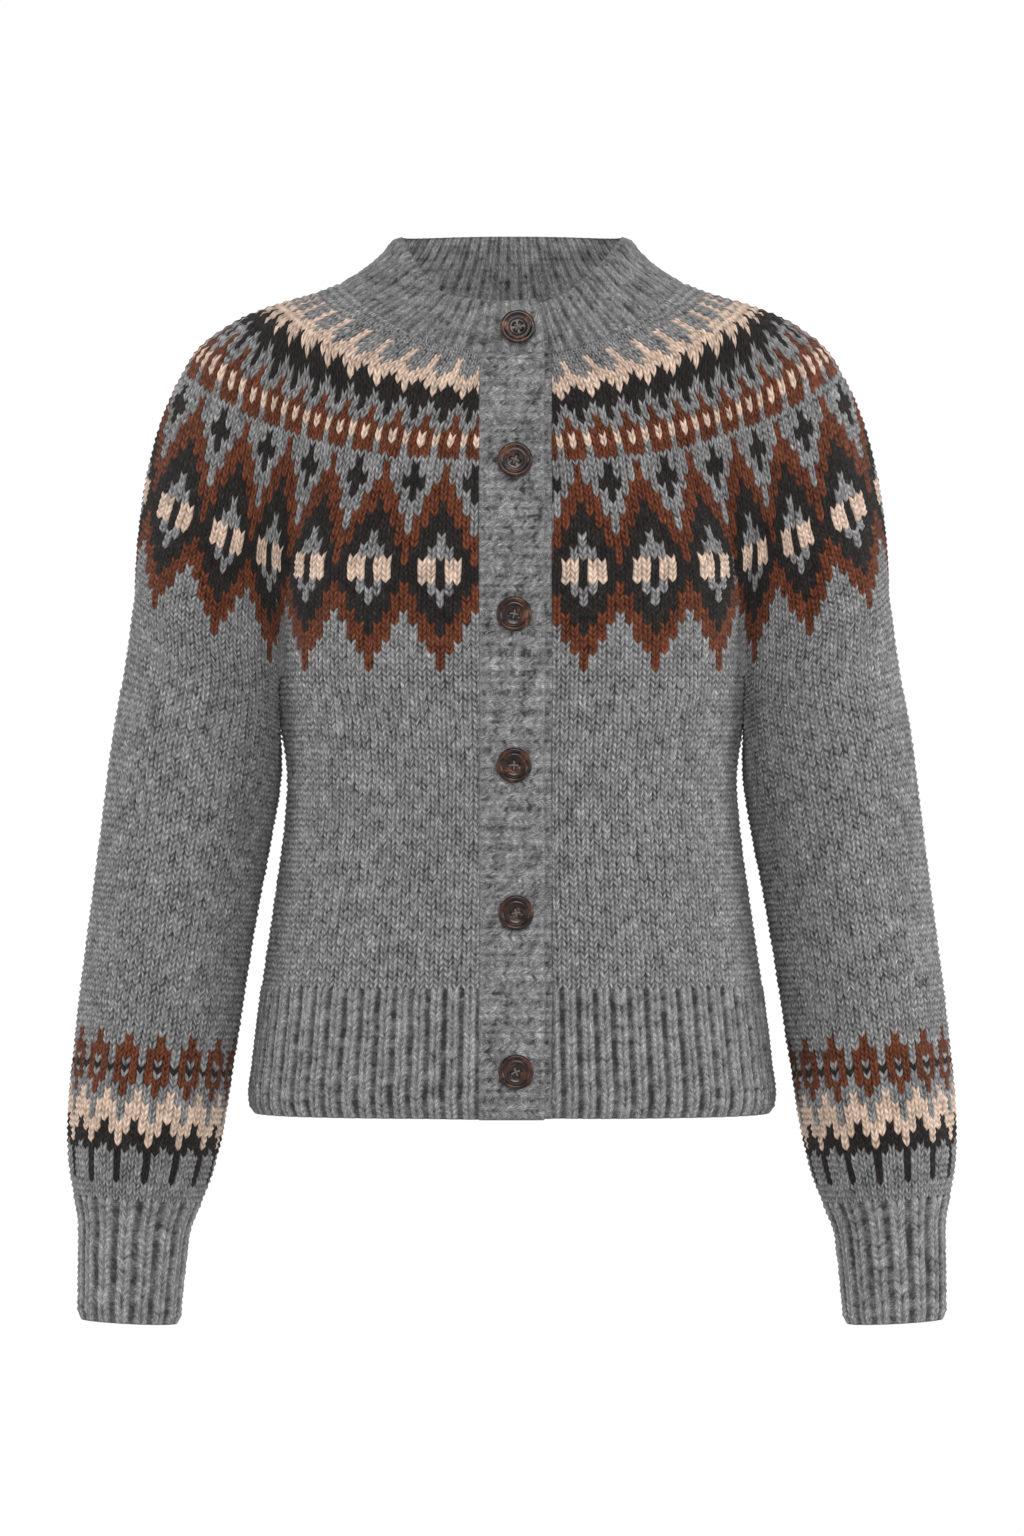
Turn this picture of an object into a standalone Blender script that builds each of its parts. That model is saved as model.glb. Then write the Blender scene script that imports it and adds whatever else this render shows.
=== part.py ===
"""Crewneck cardigan with a round patterned yoke: the solids of its knitted pieces and buttons.

The garment hangs as worn, hollow, with its front toward -Y and the wearer's left at +X.
z = 0 is the height of the neck seam at the top of the shoulder.
Every knitted piece is a wall between an outer sheet of points and the same sheet moved inward.
Sheets are read in stitches and rows, so neighbouring pieces share their edges.
"""

import math

import bmesh
import bpy
import numpy as np

for old in list(bpy.data.objects):
    bpy.data.objects.remove(old, do_unlink=True)

# Driving dimensions, in metres
SEAM = 0.0003            # space left between pieces that are sewn together
PLAIN_WALL = 0.003       # stocking stitch in thick wool
RIB_WALL = 0.0042        # hem and cuff rib, from the inside to the top of a rib
NECK_WALL = 0.0046       # doubled neckband
BAND_WALL = 0.0040
RIB_DEPTH = 0.0012       # how far a rib stands over its grooves
RIB_FLANK = 0.3          # share of a rib's width where its flat top starts
LAYER_GAP = 0.0004       # between the upper and lower front layers
ARM_GAP = 0.0007         # between the sleeve and the side of the body
HEM_SEAM_Z = -0.441
HEM_Z = -0.5223
UNDERARM_Z = -0.246
CUFF_SEAM_DROP = 0.576   # drop of the sleeve's centre line where the cuff starts
CUFF_END_DROP = 0.654
BAND_RIGHT_X = -0.0200   # edges of the upper band, then the outer edge of the lower one
BAND_LEFT_X = 0.0229
LOWER_BAND_RIGHT_X = -0.0178
LOWER_BAND_LEFT_X = 0.0249
LEFT_EDGE_X = LOWER_BAND_LEFT_X + SEAM
RIGHT_EDGE_X = BAND_RIGHT_X - SEAM
FRONTS = (("right", -1, RIGHT_EDGE_X), ("left", 1, LEFT_EDGE_X))
UPPER_BAND_X = (BAND_RIGHT_X, -0.009, 0.001, 0.012, BAND_LEFT_X)    # columns of points across a band
LOWER_BAND_X = (LOWER_BAND_RIGHT_X, -0.009, 0.001, 0.012, LOWER_BAND_LEFT_X)
NECK_LOWER_X = (-0.015, -0.004, 0.008)    # rib grooves on the neckband's lower end, then on its upper
NECK_UPPER_X = (-0.008, 0.006)
NECK_END_X = 0.0225
NECK_END_ROUNDING = 0.008    # how far the upper end curves back at its top
FRONT_RAMP = (0.020, 0.060)   # |x| over which a front rises or sinks to its band
BAND_LIFT = (BAND_WALL + LAYER_GAP) / 2    # the upper band stands out by this, the lower one sinks
PANEL_LIFT = 0.0019
NECK_LIFT = (NECK_WALL + 1.5 * LAYER_GAP) / 2

# Stitch counts: a quarter runs from the centre line to the shoulder or the side
YOKE_QUARTER = 56
BODY_QUARTER = 36
SPLIT_STITCH = 29        # stitches of the front that go up beside the sleeve
SLEEVE_OUTER = 54        # yoke stitches that go on into a sleeve
SLEEVE_ROUND = 60
SIDE_GAP = 0.03          # half a seam at the side, in stitches
FOLD_GAP = 0.05          # half the space between the yoke's solids, in its narrower stitches
FRONT_NARROWING = 0.02   # stitches near centre front are this much closer than an even share
BODY_STITCHES = [10, 14, 18, 22, 26, 29]
UNDERARM_STITCH = 32.5
ARM_STITCHES = [0, 1.5, 4, 7, 11, 16, 21, 27, 33, 38, 43, 47, 50, 52.5, 54]
UNDER_ARM_STITCHES = [1.5, 3, 4.5]
HEM_RIBS_PER_QUARTER = 20
FIRST_HEM_RIB = 4        # the first rib of a front that is clear of the band
CUFF_RIBS = 16
NECK_RIB_STITCHES = 4

# Yoke rows, counted up from the lowest point of the pattern
YOKE_TOP_ROW = 55
YOKE_RING_ROW = 33       # rows above this are rings; below it the sleeves part from the body
YOKE_BOTTOM_ROW = -1

BODY_POWER = 2.6         # superellipse powers: 2 is an ellipse, more is squarer
YOKE_POWER = 2.1
ARM_POWER = 2.6
RING_DIP = 1.15          # how late a ring's height turns from the front to the shoulder
RING_PULL = 0.75         # how far the lowest ring's slope carries on below it

BUTTON_DIAMETER = 0.022
BUTTON_THICKNESS = 0.0036
BUTTON_DISH = 0.0023     # height of the sunk middle
BUTTON_HOLE = 0.0011
BUTTON_HOLE_SPREAD = 0.0024
BUTTON_PLACES = (        # x, z of each button's middle
    (0.0037, -0.0290),
    (0.0019, -0.1120),
    (0.0013, -0.2077),
    (0.0013, -0.3016),
    (0.0025, -0.3938),
    (0.0025, -0.4927),
)


def table(names, rows):
    """A short table as one array for each named column."""
    return {name: np.array(values) for name, values in zip(names.split(), zip(*rows))}


BODY = table("drop half_width front back", (
    (0.200, 0.1520, 0.1060, 0.1060),
    (0.246, 0.1520, 0.1060, 0.1060),
    (0.275, 0.1470, 0.1055, 0.1030),
    (0.305, 0.1423, 0.1040, 0.0985),
    (0.340, 0.1440, 0.1040, 0.0960),
    (0.387, 0.1502, 0.1055, 0.0975),
    (0.441, 0.1580, 0.1075, 0.1010),
    (0.490, 0.1640, 0.1100, 0.1050),
    (0.512, 0.1662, 0.1105, 0.1065),
    (0.5223, 0.1645, 0.1090, 0.1050),
))

YOKE = table("row half_width front back z_front z_shoulder z_back swing", (
    (33, 0.2108, 0.1000, 0.0970, -0.1175, -0.0570, -0.1040, -12),
    (38, 0.1982, 0.0975, 0.0935, -0.0997, -0.0370, -0.0830, -9),
    (42, 0.1783, 0.0945, 0.0890, -0.0850, -0.0220, -0.0655, -5),
    (47, 0.1516, 0.0895, 0.0820, -0.0665, -0.0105, -0.0440, 4),
    (52, 0.1235, 0.0815, 0.0715, -0.0515, -0.0022, -0.0200, 8),
    (55, 0.1090, 0.0760, 0.0640, -0.0445, 0.0035, -0.0080, 9),
))

NECK = table("height half_width front back z_front z_shoulder z_back swing", (
    (0.00, 0.1090, 0.0760, 0.0640, -0.0445, 0.0035, -0.0080, 9),
    (0.35, 0.0940, 0.0728, 0.0630, -0.0320, 0.0125, 0.0090, 8),
    (0.70, 0.0808, 0.0695, 0.0618, -0.0205, 0.0240, 0.0250, 6),
    (0.92, 0.0738, 0.0668, 0.0607, -0.0132, 0.0325, 0.0355, 5),
    (1.00, 0.0706, 0.0652, 0.0595, -0.0110, 0.0345, 0.0380, 5),
))

SLEEVE = table("drop x y half_width half_depth tilt", (
    (0.218, 0.1922, 0.0000, 0.0560, 0.0640, 31.0),
    (0.256, 0.1950, 0.0000, 0.0545, 0.0620, 22.0),
    (0.298, 0.2000, -0.0010, 0.0550, 0.0600, 14.0),
    (0.340, 0.2060, -0.0020, 0.0538, 0.0575, 9.0),
    (0.387, 0.2133, -0.0040, 0.0524, 0.0550, 5.5),
    (0.476, 0.2257, -0.0080, 0.0508, 0.0510, 5.0),
    (0.540, 0.2335, -0.0100, 0.0478, 0.0475, 4.5),
    (0.560, 0.2355, -0.0105, 0.0446, 0.0435, 4.0),
    (0.576, 0.2372, -0.0110, 0.0400, 0.0392, 4.0),
    (0.592, 0.2390, -0.0115, 0.0352, 0.0345, 3.8),
    (0.610, 0.2403, -0.0120, 0.0338, 0.0322, 3.5),
    (0.654, 0.2426, -0.0130, 0.0318, 0.0290, 3.0),
))
SLEEVE_TOP_DROP = 0.218
SLEEVE_TOP_FADE = 0.10   # length over which the sleeve's seam shape turns into its round tube
ARM_CENTRE_X = 0.190
ARM_OUTER_X = 0.2385
ARM_DEPTH = 0.064
ARM_OUTER_Z = -0.193
ARM_SEAM_RISE = 1.4      # how soon the seam rises from the underarm to the outer arm
ARM_GAP_GROWTH = 0.008   # the sleeve stands off the body's side by this much more for each metre down
SIDE_CONTACT_DROP = 0.36
FOLD_EASE = 0.0012       # the sleeve starts this much lower at the underarm's two corners
FOLD_WIDTH = 1.5         # over this many stitches

# Levels at which the walls have points; neighbours share them
HALF_SEAM = SEAM / 2
YOKE_LEVELS = [YOKE_BOTTOM_ROW + 0.04, 6, 13, 20, 27, 33, 38, 42, 47, 51, YOKE_TOP_ROW - 0.04]
BODY_LEVELS = [HEM_SEAM_Z + HALF_SEAM, -0.414, -0.387, -0.360, -0.332, -0.305, -0.275,
               UNDERARM_Z - HALF_SEAM]
HEM_LEVELS = [HEM_Z, -0.515, -0.490, HEM_SEAM_Z - HALF_SEAM]
SLEEVE_DROPS = [SLEEVE_TOP_DROP + HALF_SEAM, 0.237, 0.256, 0.277, 0.298, 0.319, 0.340, 0.387, 0.432,
                0.476, 0.510, 0.540, 0.560, CUFF_SEAM_DROP - HALF_SEAM]
CUFF_DROPS = [CUFF_SEAM_DROP + HALF_SEAM, 0.593, 0.615, CUFF_END_DROP]
NECK_HEIGHTS = [0.008, 0.40, 0.80, 1.0]
NECK_BUTTON_Z = -0.04    # a button higher than this sits on the neckband's end

# Limits of each sheet's level, then the step on either side over which a normal is read
YOKE_STEP = ((YOKE_BOTTOM_ROW, YOKE_TOP_ROW), 0.5)
NECK_STEP = ((0, 1), 0.04)
BODY_STEP = ((HEM_Z, UNDERARM_Z), 0.004)
SLEEVE_STEP = ((SLEEVE_TOP_DROP, CUFF_END_DROP), 0.004)
COLUMN_STEP = 0.3

# Colours and finish
GREY_WOOL = (0.16, 0.16, 0.165)
WOOL_ROUGHNESS = 0.95
HORN_BROWN = (0.13, 0.045, 0.02)
HORN_ROUGHNESS = 0.25


# Curves
def hermite(start, leave, end, arrive, share):
    """Cubic between two ends with given tangents."""
    turn = share * share * (3 - 2 * share)
    out = share * (1 - share) ** 2
    back = share * share * (share - 1)
    return start * (1 - turn) + end * turn + leave * out + arrive * back


def along(sections, key, name, at):
    """Smooth value of a table's column where its key column reaches `at`."""
    keys = sections[key]
    values = sections[name]
    slopes = np.gradient(values, keys)
    at = min(max(at, keys[0]), keys[-1])
    low = min(int(np.searchsorted(keys, at, side="right")), len(keys) - 1) - 1
    span = keys[low + 1] - keys[low]
    share = (at - keys[low]) / span
    return hermite(values[low], slopes[low] * span, values[low + 1], slopes[low + 1] * span, share)


def smooth_step(low, high, at):
    share = np.clip((at - low) / (high - low), 0, 1)
    return share * share * (3 - 2 * share)


def quarter_arc(half_width, half_depth, share):
    """Point of a superellipse's quarter at a share of its length from the centre line."""
    turn = np.linspace(0, math.pi / 2, 361)
    x = half_width * np.sin(turn) ** (2 / BODY_POWER)
    y = half_depth * np.cos(turn) ** (2 / BODY_POWER)
    length = np.concatenate(([0], np.cumsum(np.hypot(np.diff(x), np.diff(y)))))
    length /= length[-1]
    return np.interp(share, length, x), np.interp(share, length, y)


# Body below the yoke
def wrapped(stitches, quarter):
    """Stitches counted on past the centre back, as stitches of the wearer's right side."""
    stitches = np.asarray(stitches, dtype=float)
    return np.where(stitches > 2 * quarter, stitches - 4 * quarter, stitches)


def body_sheet(stitches, z):
    """Points round the body; stitch 0 is at centre front and +X has positive stitches."""
    stitches = wrapped(stitches, BODY_QUARTER)
    half_width = along(BODY, "drop", "half_width", -z)
    front = along(BODY, "drop", "front", -z)
    back = along(BODY, "drop", "back", -z)
    count = np.abs(stitches)
    in_front = count <= BODY_QUARTER
    share = np.where(in_front, count, 2 * BODY_QUARTER - count) / BODY_QUARTER
    share = share - FRONT_NARROWING * np.sin(math.pi * share)
    front_x, front_y = quarter_arc(half_width, front, share)
    back_x, back_y = quarter_arc(half_width, back, share)
    x = np.sign(stitches) * np.where(in_front, front_x, back_x)
    y = np.where(in_front, -front_y, back_y)
    return np.stack((x, y, np.full_like(x, z)), axis=-1)


def body_side_x(y, z):
    """Half-width of the body at a depth and height."""
    half_width = along(BODY, "drop", "half_width", -z)
    depth = along(BODY, "drop", "front" if y < 0 else "back", -z)
    inside = max(1 - (abs(y) / depth) ** BODY_POWER, 0)
    return half_width * inside ** (1 / BODY_POWER)


# Yoke and neckband
def ring(sections, key, at, stitches):
    """Ring of the yoke or neckband, from a row of its table."""
    stitches = wrapped(stitches, YOKE_QUARTER)
    count = np.abs(stitches)
    in_front = count <= YOKE_QUARTER
    share = np.where(in_front, count, 2 * YOKE_QUARTER - count) / YOKE_QUARTER
    swing = math.radians(along(sections, key, "swing", at))
    angle = math.pi / 2 * share + swing * np.sin(math.pi * share ** 2)
    side = np.clip(np.sin(angle), 0, 1)
    front = along(sections, key, "front", at)
    back = along(sections, key, "back", at)
    depth = np.where(in_front, -front, back) * (1 - side ** YOKE_POWER) ** (1 / YOKE_POWER)
    z_shoulder = along(sections, key, "z_shoulder", at)
    z_front = along(sections, key, "z_front", at)
    z_back = along(sections, key, "z_back", at)
    z_centre = np.where(in_front, z_front, z_back)
    z = z_centre + (z_shoulder - z_centre) * side ** (2 * RING_DIP)
    x = np.sign(stitches) * along(sections, key, "half_width", at) * side
    return np.stack((x, depth, z), axis=-1)


def sleeve_seam(share):
    """Seam at +X from the yoke's front fold, round the outer arm, to the back fold."""
    fold = body_sheet([SPLIT_STITCH], UNDERARM_Z)[0]
    fold_depth = abs(fold[1]) / ARM_DEPTH
    inner = (ARM_CENTRE_X - fold[0]) / (1 - fold_depth ** ARM_POWER) ** (1 / ARM_POWER)
    outer = ARM_OUTER_X - ARM_CENTRE_X
    turn = np.linspace(math.asin(fold_depth ** (ARM_POWER / 2)), math.pi, 361)
    width = np.where(turn < math.pi / 2, -inner, outer)
    x = ARM_CENTRE_X + width * np.abs(np.cos(turn)) ** (2 / ARM_POWER)
    y = -ARM_DEPTH * np.abs(np.sin(turn)) ** (2 / ARM_POWER)
    length = np.concatenate(([0], np.cumsum(np.hypot(np.diff(x), np.diff(y)))))
    length /= length[-1]
    way = 1 - np.abs(2 * share - 1)
    seam_x = np.interp(way, length, x)
    seam_y = np.interp(way, length, y) * np.where(share <= 0.5, 1, -1)
    z = ARM_OUTER_Z + (UNDERARM_Z - ARM_OUTER_Z) * (1 - way) ** ARM_SEAM_RISE
    return np.stack((seam_x, seam_y, z), axis=-1)


def split_ring(stitches):
    """Lower edge of the yoke: body front, sleeve, body back, sleeve."""
    stitches = wrapped(stitches, YOKE_QUARTER)
    count = np.abs(stitches)
    beyond = 2 * (YOKE_QUARTER - BODY_QUARTER)
    body_count = np.where(count > YOKE_QUARTER, count - beyond, count)
    body_points = body_sheet(np.sign(stitches) * body_count, UNDERARM_Z)
    arm_points = sleeve_seam(np.clip((count - SPLIT_STITCH) / SLEEVE_OUTER, 0, 1))
    arm_points[:, 0] *= np.sign(stitches)
    on_arm = (count > SPLIT_STITCH) & (count < SPLIT_STITCH + SLEEVE_OUTER)
    return np.where(on_arm[:, None], arm_points, body_points)


def yoke_sheet(stitches, row):
    """Points round the yoke: rings near the neck, then a smooth way down to the split ring."""
    if row >= YOKE_RING_ROW:
        return ring(YOKE, "row", row, stitches)
    rows_below = YOKE_RING_ROW - YOKE_BOTTOM_ROW
    top = ring(YOKE, "row", YOKE_RING_ROW, stitches)
    above = ring(YOKE, "row", YOKE_RING_ROW + 1, stitches)
    bottom = split_ring(stitches)
    leave = (top - above) * rows_below * RING_PULL
    arrive = (bottom - top) * np.array((0, 0, 1))
    return hermite(top, leave, bottom, arrive, (YOKE_RING_ROW - row) / rows_below)


def neck_sheet(stitches, height):
    return ring(NECK, "height", height, stitches)


# Sleeves
def sleeve_round(stitches, drop):
    """Oval section of a sleeve at +X; stitch 0 is at the front fold."""
    angle = 2 * math.pi * (stitches - (SLEEVE_OUTER + SLEEVE_ROUND) / 2) / SLEEVE_ROUND
    tilt = math.radians(along(SLEEVE, "drop", "tilt", drop))
    reach = along(SLEEVE, "drop", "half_width", drop) * np.cos(angle)
    x = along(SLEEVE, "drop", "x", drop) - reach * math.cos(tilt)
    y = along(SLEEVE, "drop", "y", drop) - along(SLEEVE, "drop", "half_depth", drop) * np.sin(angle)
    return np.stack((x, y, -drop - reach * math.sin(tilt)), axis=-1)


def sleeve_top(stitches):
    """Upper edge of a sleeve at +X: the yoke's seam, then along the side of the body."""
    outer = sleeve_seam(np.clip(stitches / SLEEVE_OUTER, 0, 1))
    under = (SLEEVE_ROUND - stitches) / (SLEEVE_ROUND - SLEEVE_OUTER)
    inner = body_sheet(SPLIT_STITCH + under * 2 * (BODY_QUARTER - SPLIT_STITCH), UNDERARM_Z)
    edge = np.where((stitches <= SLEEVE_OUTER)[:, None], outer, inner)
    from_fold = np.minimum(np.abs(stitches - SLEEVE_OUTER), np.minimum(stitches, SLEEVE_ROUND - stitches))
    edge[:, 2] -= FOLD_EASE * np.exp(-(from_fold / FOLD_WIDTH) ** 2)
    return edge


def sleeve_sheet(stitches, drop, side):
    """Points round a sleeve; side is 1 for the wearer's left and -1 for the right."""
    stitches = np.asarray(stitches, dtype=float) % SLEEVE_ROUND
    points = sleeve_round(stitches, drop)
    fade = max(1 - (drop - SLEEVE_TOP_DROP) / SLEEVE_TOP_FADE, 0)
    if fade > 0:
        shift = sleeve_top(stitches) - sleeve_round(stitches, SLEEVE_TOP_DROP)
        points += shift * fade * fade
    if drop < SIDE_CONTACT_DROP:
        gap = ARM_GAP + ARM_GAP_GROWTH * (drop - SLEEVE_TOP_DROP)
        for point in points:
            point[0] = max(point[0], body_side_x(point[1], point[2]) + gap)
    points[:, 0] *= side
    return points


# Reading sheets
def columns_at(columns, level):
    return np.array(columns(level) if callable(columns) else columns, dtype=float)


def sheet_normals(sheet, columns, level, step, flat=False):
    """Outward normals by differences; flat ones lie level, as on an edge that is sewn to its like."""
    limits, reach = step
    up = sheet(columns, min(level + reach, limits[1])) - sheet(columns, max(level - reach, limits[0]))
    if flat:
        up[:] = (0, 0, math.copysign(1, up[0][2]))
    across = sheet(columns + COLUMN_STEP, level) - sheet(columns - COLUMN_STEP, level)
    normals = np.cross(across, up)
    return normals / np.linalg.norm(normals, axis=1, keepdims=True)


def neck_seam_normals(columns):
    """Shared direction of the wall's edge where the neckband joins the yoke."""
    total = (sheet_normals(yoke_sheet, columns, YOKE_TOP_ROW, YOKE_STEP)
             + sheet_normals(neck_sheet, columns, 0, NECK_STEP))
    return total / np.linalg.norm(total, axis=1, keepdims=True)


def read_sheet(sheet, columns, levels, step, flat_levels=(), neck_levels=(), turned=1):
    """Points and outward normals of a sheet, one row for each level."""
    points = []
    normals = []
    for level in levels:
        at = columns_at(columns, level)
        points.append(sheet(at, level))
        if level in neck_levels:
            normals.append(neck_seam_normals(at))
        else:
            normals.append(turned * sheet_normals(sheet, at, level, step, level in flat_levels))
    return np.array(points), np.array(normals)


def layered(points, normals, lift):
    """Move a sheet out, or in with a negative lift, where it nears the front bands."""
    near = 1 - smooth_step(*FRONT_RAMP, np.abs(points[..., 0]))
    amount = lift * near * (points[..., 1] < 0)
    return points + normals * amount[..., None]


def front_layers(points, normals):
    """The right front rises to the upper band and the left front sinks to the lower one."""
    lift = np.where(points[..., 0] < 0, PANEL_LIFT, -PANEL_LIFT)
    return layered(points, normals, lift)


# Walls
def finish(name, colour, roughness):
    """Principled material of a node."""
    material = bpy.data.materials.new(name)
    material.use_nodes = True
    shader = material.node_tree.nodes["Principled BSDF"]
    shader.inputs["Base Color"].default_value = (*colour, 1)
    shader.inputs["Roughness"].default_value = roughness
    shader.inputs["Metallic"].default_value = 0
    return material


def new_object(name, bm, material):
    bmesh.ops.recalc_face_normals(bm, faces=bm.faces)
    mesh = bpy.data.meshes.new(name)
    bm.to_mesh(mesh)
    bm.free()
    mesh.materials.append(material)
    thing = bpy.data.objects.new(name, mesh)
    bpy.context.scene.collection.objects.link(thing)
    return thing


def wall(name, points, normals, thickness, reliefs=None, closed=False):
    """Closed wall inward from a sheet; reliefs raise three outer columns for each inner one."""
    bm = bmesh.new()
    group = 1 if reliefs is None else 3
    heights = np.zeros(points.shape[1]) if reliefs is None else np.array(reliefs)
    outer = points + normals * heights[None, :, None]
    inner = (points - normals * (thickness - heights.max()))[:, ::group]
    outside = [[bm.verts.new(point) for point in row] for row in outer]
    inside = [[bm.verts.new(point) for point in row] for row in inner]
    if closed:
        outside = [row + row[:1] for row in outside]
        inside = [row + row[:1] for row in inside]
    for rows in (outside, inside):
        for low, high in zip(rows, rows[1:]):
            for k in range(len(low) - 1):
                bm.faces.new((low[k], low[k + 1], high[k + 1], high[k]))
    for edge in (0, -1):
        for k in range(len(inside[0]) - 1):
            rim = outside[edge][k * group:(k + 1) * group + 1]
            bm.faces.new(rim + [inside[edge][k + 1], inside[edge][k]])
        if not closed:
            for k in range(len(outside) - 1):
                bm.faces.new((outside[k][edge], outside[k + 1][edge],
                              inside[k + 1][edge], inside[k][edge]))
    # The shorter diagonal is the same one on both sides of a seam
    bmesh.ops.triangulate(bm, faces=bm.faces, quad_method="SHORT_EDGE")
    return new_object(name, bm, finish(name, GREY_WOOL, WOOL_ROUGHNESS))


def rib_columns(grooves, closed_at=None):
    """Columns and heights of ribs between grooves: each groove, then the rib's two shoulders."""
    ends = list(grooves[1:]) + ([closed_at] if closed_at else [])
    columns = []
    reliefs = []
    for start, end in zip(grooves, ends):
        columns += [start, start + RIB_FLANK * (end - start), end - RIB_FLANK * (end - start)]
        reliefs += [0, RIB_DEPTH, RIB_DEPTH]
    if not closed_at:
        columns.append(grooves[-1])
        reliefs.append(0)
    return columns, reliefs


def stitch_at_x(sheet, level, x):
    """Stitch of a front sheet that lies at x on a level."""
    reach = np.linspace(0, 16, 65) * np.sign(x)
    points = sheet(reach, level)
    order = np.argsort(points[:, 0])
    return float(np.interp(x, points[order, 0], reach[order]))


# Pieces
def make_yoke():
    """The round yoke in five solids that meet at the folds: two fronts, the back and both arms."""
    turn = 4 * YOKE_QUARTER
    before_fold = SPLIT_STITCH - FOLD_GAP
    arm = [SPLIT_STITCH + k for k in ARM_STITCHES]
    arm[0] += FOLD_GAP
    arm[-1] -= FOLD_GAP
    front = BODY_STITCHES[:-1] + [before_fold]
    half_back = [2 * YOKE_QUARTER - k for k in front[::-1]]
    spans = {
        "left_arm": arm,
        "right_arm": [turn - k for k in arm],
        "back": half_back + [2 * YOKE_QUARTER] + [turn - k for k in half_back[::-1]],
    }
    for name, side, edge_x in FRONTS:
        def columns(level, side=side, edge_x=edge_x):
            return [stitch_at_x(yoke_sheet, level, edge_x)] + [side * k for k in front]
        spans[name + "_front"] = columns
    for name, columns in spans.items():
        points, normals = read_sheet(yoke_sheet, columns, YOKE_LEVELS, YOKE_STEP, YOKE_LEVELS[:1],
                                     YOKE_LEVELS[-1:])
        wall("yoke_" + name, front_layers(points, normals), normals, PLAIN_WALL)


def body_piece(name, columns, levels, flat_levels, thickness, reliefs=None):
    sheet = read_sheet(body_sheet, columns, levels, BODY_STEP, flat_levels)
    wall(name, front_layers(*sheet), sheet[1], thickness, reliefs)


def make_body():
    """Back and two fronts, joined at the sides."""
    turn = 2 * BODY_QUARTER
    half_back = [BODY_QUARTER + SIDE_GAP, turn - UNDERARM_STITCH] + [turn - k for k in BODY_STITCHES[::-1]]
    back = half_back + [turn] + [2 * turn - k for k in half_back[::-1]]
    body_piece("back", back, BODY_LEVELS, BODY_LEVELS[-1:], PLAIN_WALL)
    front = BODY_STITCHES + [UNDERARM_STITCH, BODY_QUARTER - SIDE_GAP]
    for name, side, edge_x in FRONTS:
        def columns(level, side=side, edge_x=edge_x):
            return [stitch_at_x(body_sheet, level, edge_x)] + [side * k for k in front]
        body_piece(name + "_front", columns, BODY_LEVELS, BODY_LEVELS[-1:], PLAIN_WALL)


def make_hem():
    """Ribbed lower edge in three pieces, with the same side seams as the body."""
    rib = BODY_QUARTER / HEM_RIBS_PER_QUARTER
    turn = 2 * BODY_QUARTER
    half_back = [BODY_QUARTER + SIDE_GAP] + [BODY_QUARTER + rib * k for k in range(1, HEM_RIBS_PER_QUARTER)]
    back, reliefs = rib_columns(half_back + [turn] + [2 * turn - k for k in half_back[::-1]])
    body_piece("hem_rib_back", back, HEM_LEVELS, (), RIB_WALL, reliefs)
    front = [rib * k for k in range(FIRST_HEM_RIB, HEM_RIBS_PER_QUARTER)] + [BODY_QUARTER - SIDE_GAP]
    for name, side, edge_x in FRONTS:
        def columns(level, side=side, edge_x=edge_x):
            edge = stitch_at_x(body_sheet, level, edge_x)
            return rib_columns([edge] + [side * k for k in front])[0]
        reliefs = rib_columns([0] + front)[1]
        body_piece("hem_rib_" + name, columns, HEM_LEVELS, (), RIB_WALL, reliefs)


def make_sleeves():
    """Sleeves and ribbed cuffs on both sides."""
    under = [SLEEVE_OUTER + k for k in UNDER_ARM_STITCHES]
    width = SLEEVE_ROUND / CUFF_RIBS
    ribs, reliefs = rib_columns([width * k for k in range(CUFF_RIBS)], SLEEVE_ROUND)
    for name, side, _ in FRONTS:
        def sheet(stitches, drop, side=side):
            return sleeve_sheet(stitches, drop, side)
        tube = read_sheet(sheet, ARM_STITCHES + under, SLEEVE_DROPS, SLEEVE_STEP,
                          (SLEEVE_DROPS[0], SLEEVE_DROPS[-1]), turned=-side)
        wall(name + "_sleeve", *tube, PLAIN_WALL, closed=True)
        cuff = read_sheet(sheet, ribs, CUFF_DROPS, SLEEVE_STEP, CUFF_DROPS[:1], turned=-side)
        wall(name + "_cuff", *cuff, RIB_WALL, reliefs, closed=True)


def make_neckband():
    """Doubled neckband: from its lower end at the left, round the back, to its upper end."""
    turn = 4 * YOKE_QUARTER
    grooves = list(range(8, turn - 7, NECK_RIB_STITCHES))

    def grooves_at(height):
        end_x = NECK_END_X - NECK_END_ROUNDING * height ** 3
        lower = [stitch_at_x(neck_sheet, height, x) for x in NECK_LOWER_X]
        upper = [turn + stitch_at_x(neck_sheet, height, x) for x in (*NECK_UPPER_X, end_x)]
        return lower + grooves + upper

    def columns(height):
        return rib_columns(grooves_at(height))[0]

    points, normals = read_sheet(neck_sheet, columns, NECK_HEIGHTS, NECK_STEP, neck_levels=NECK_HEIGHTS[:1])
    upper = np.array([columns(height) for height in NECK_HEIGHTS]) > turn / 2
    points = layered(points, normals, np.where(upper, NECK_LIFT, -NECK_LIFT))
    wall("neckband", points, normals, NECK_WALL, rib_columns(grooves_at(0))[1])


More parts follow.
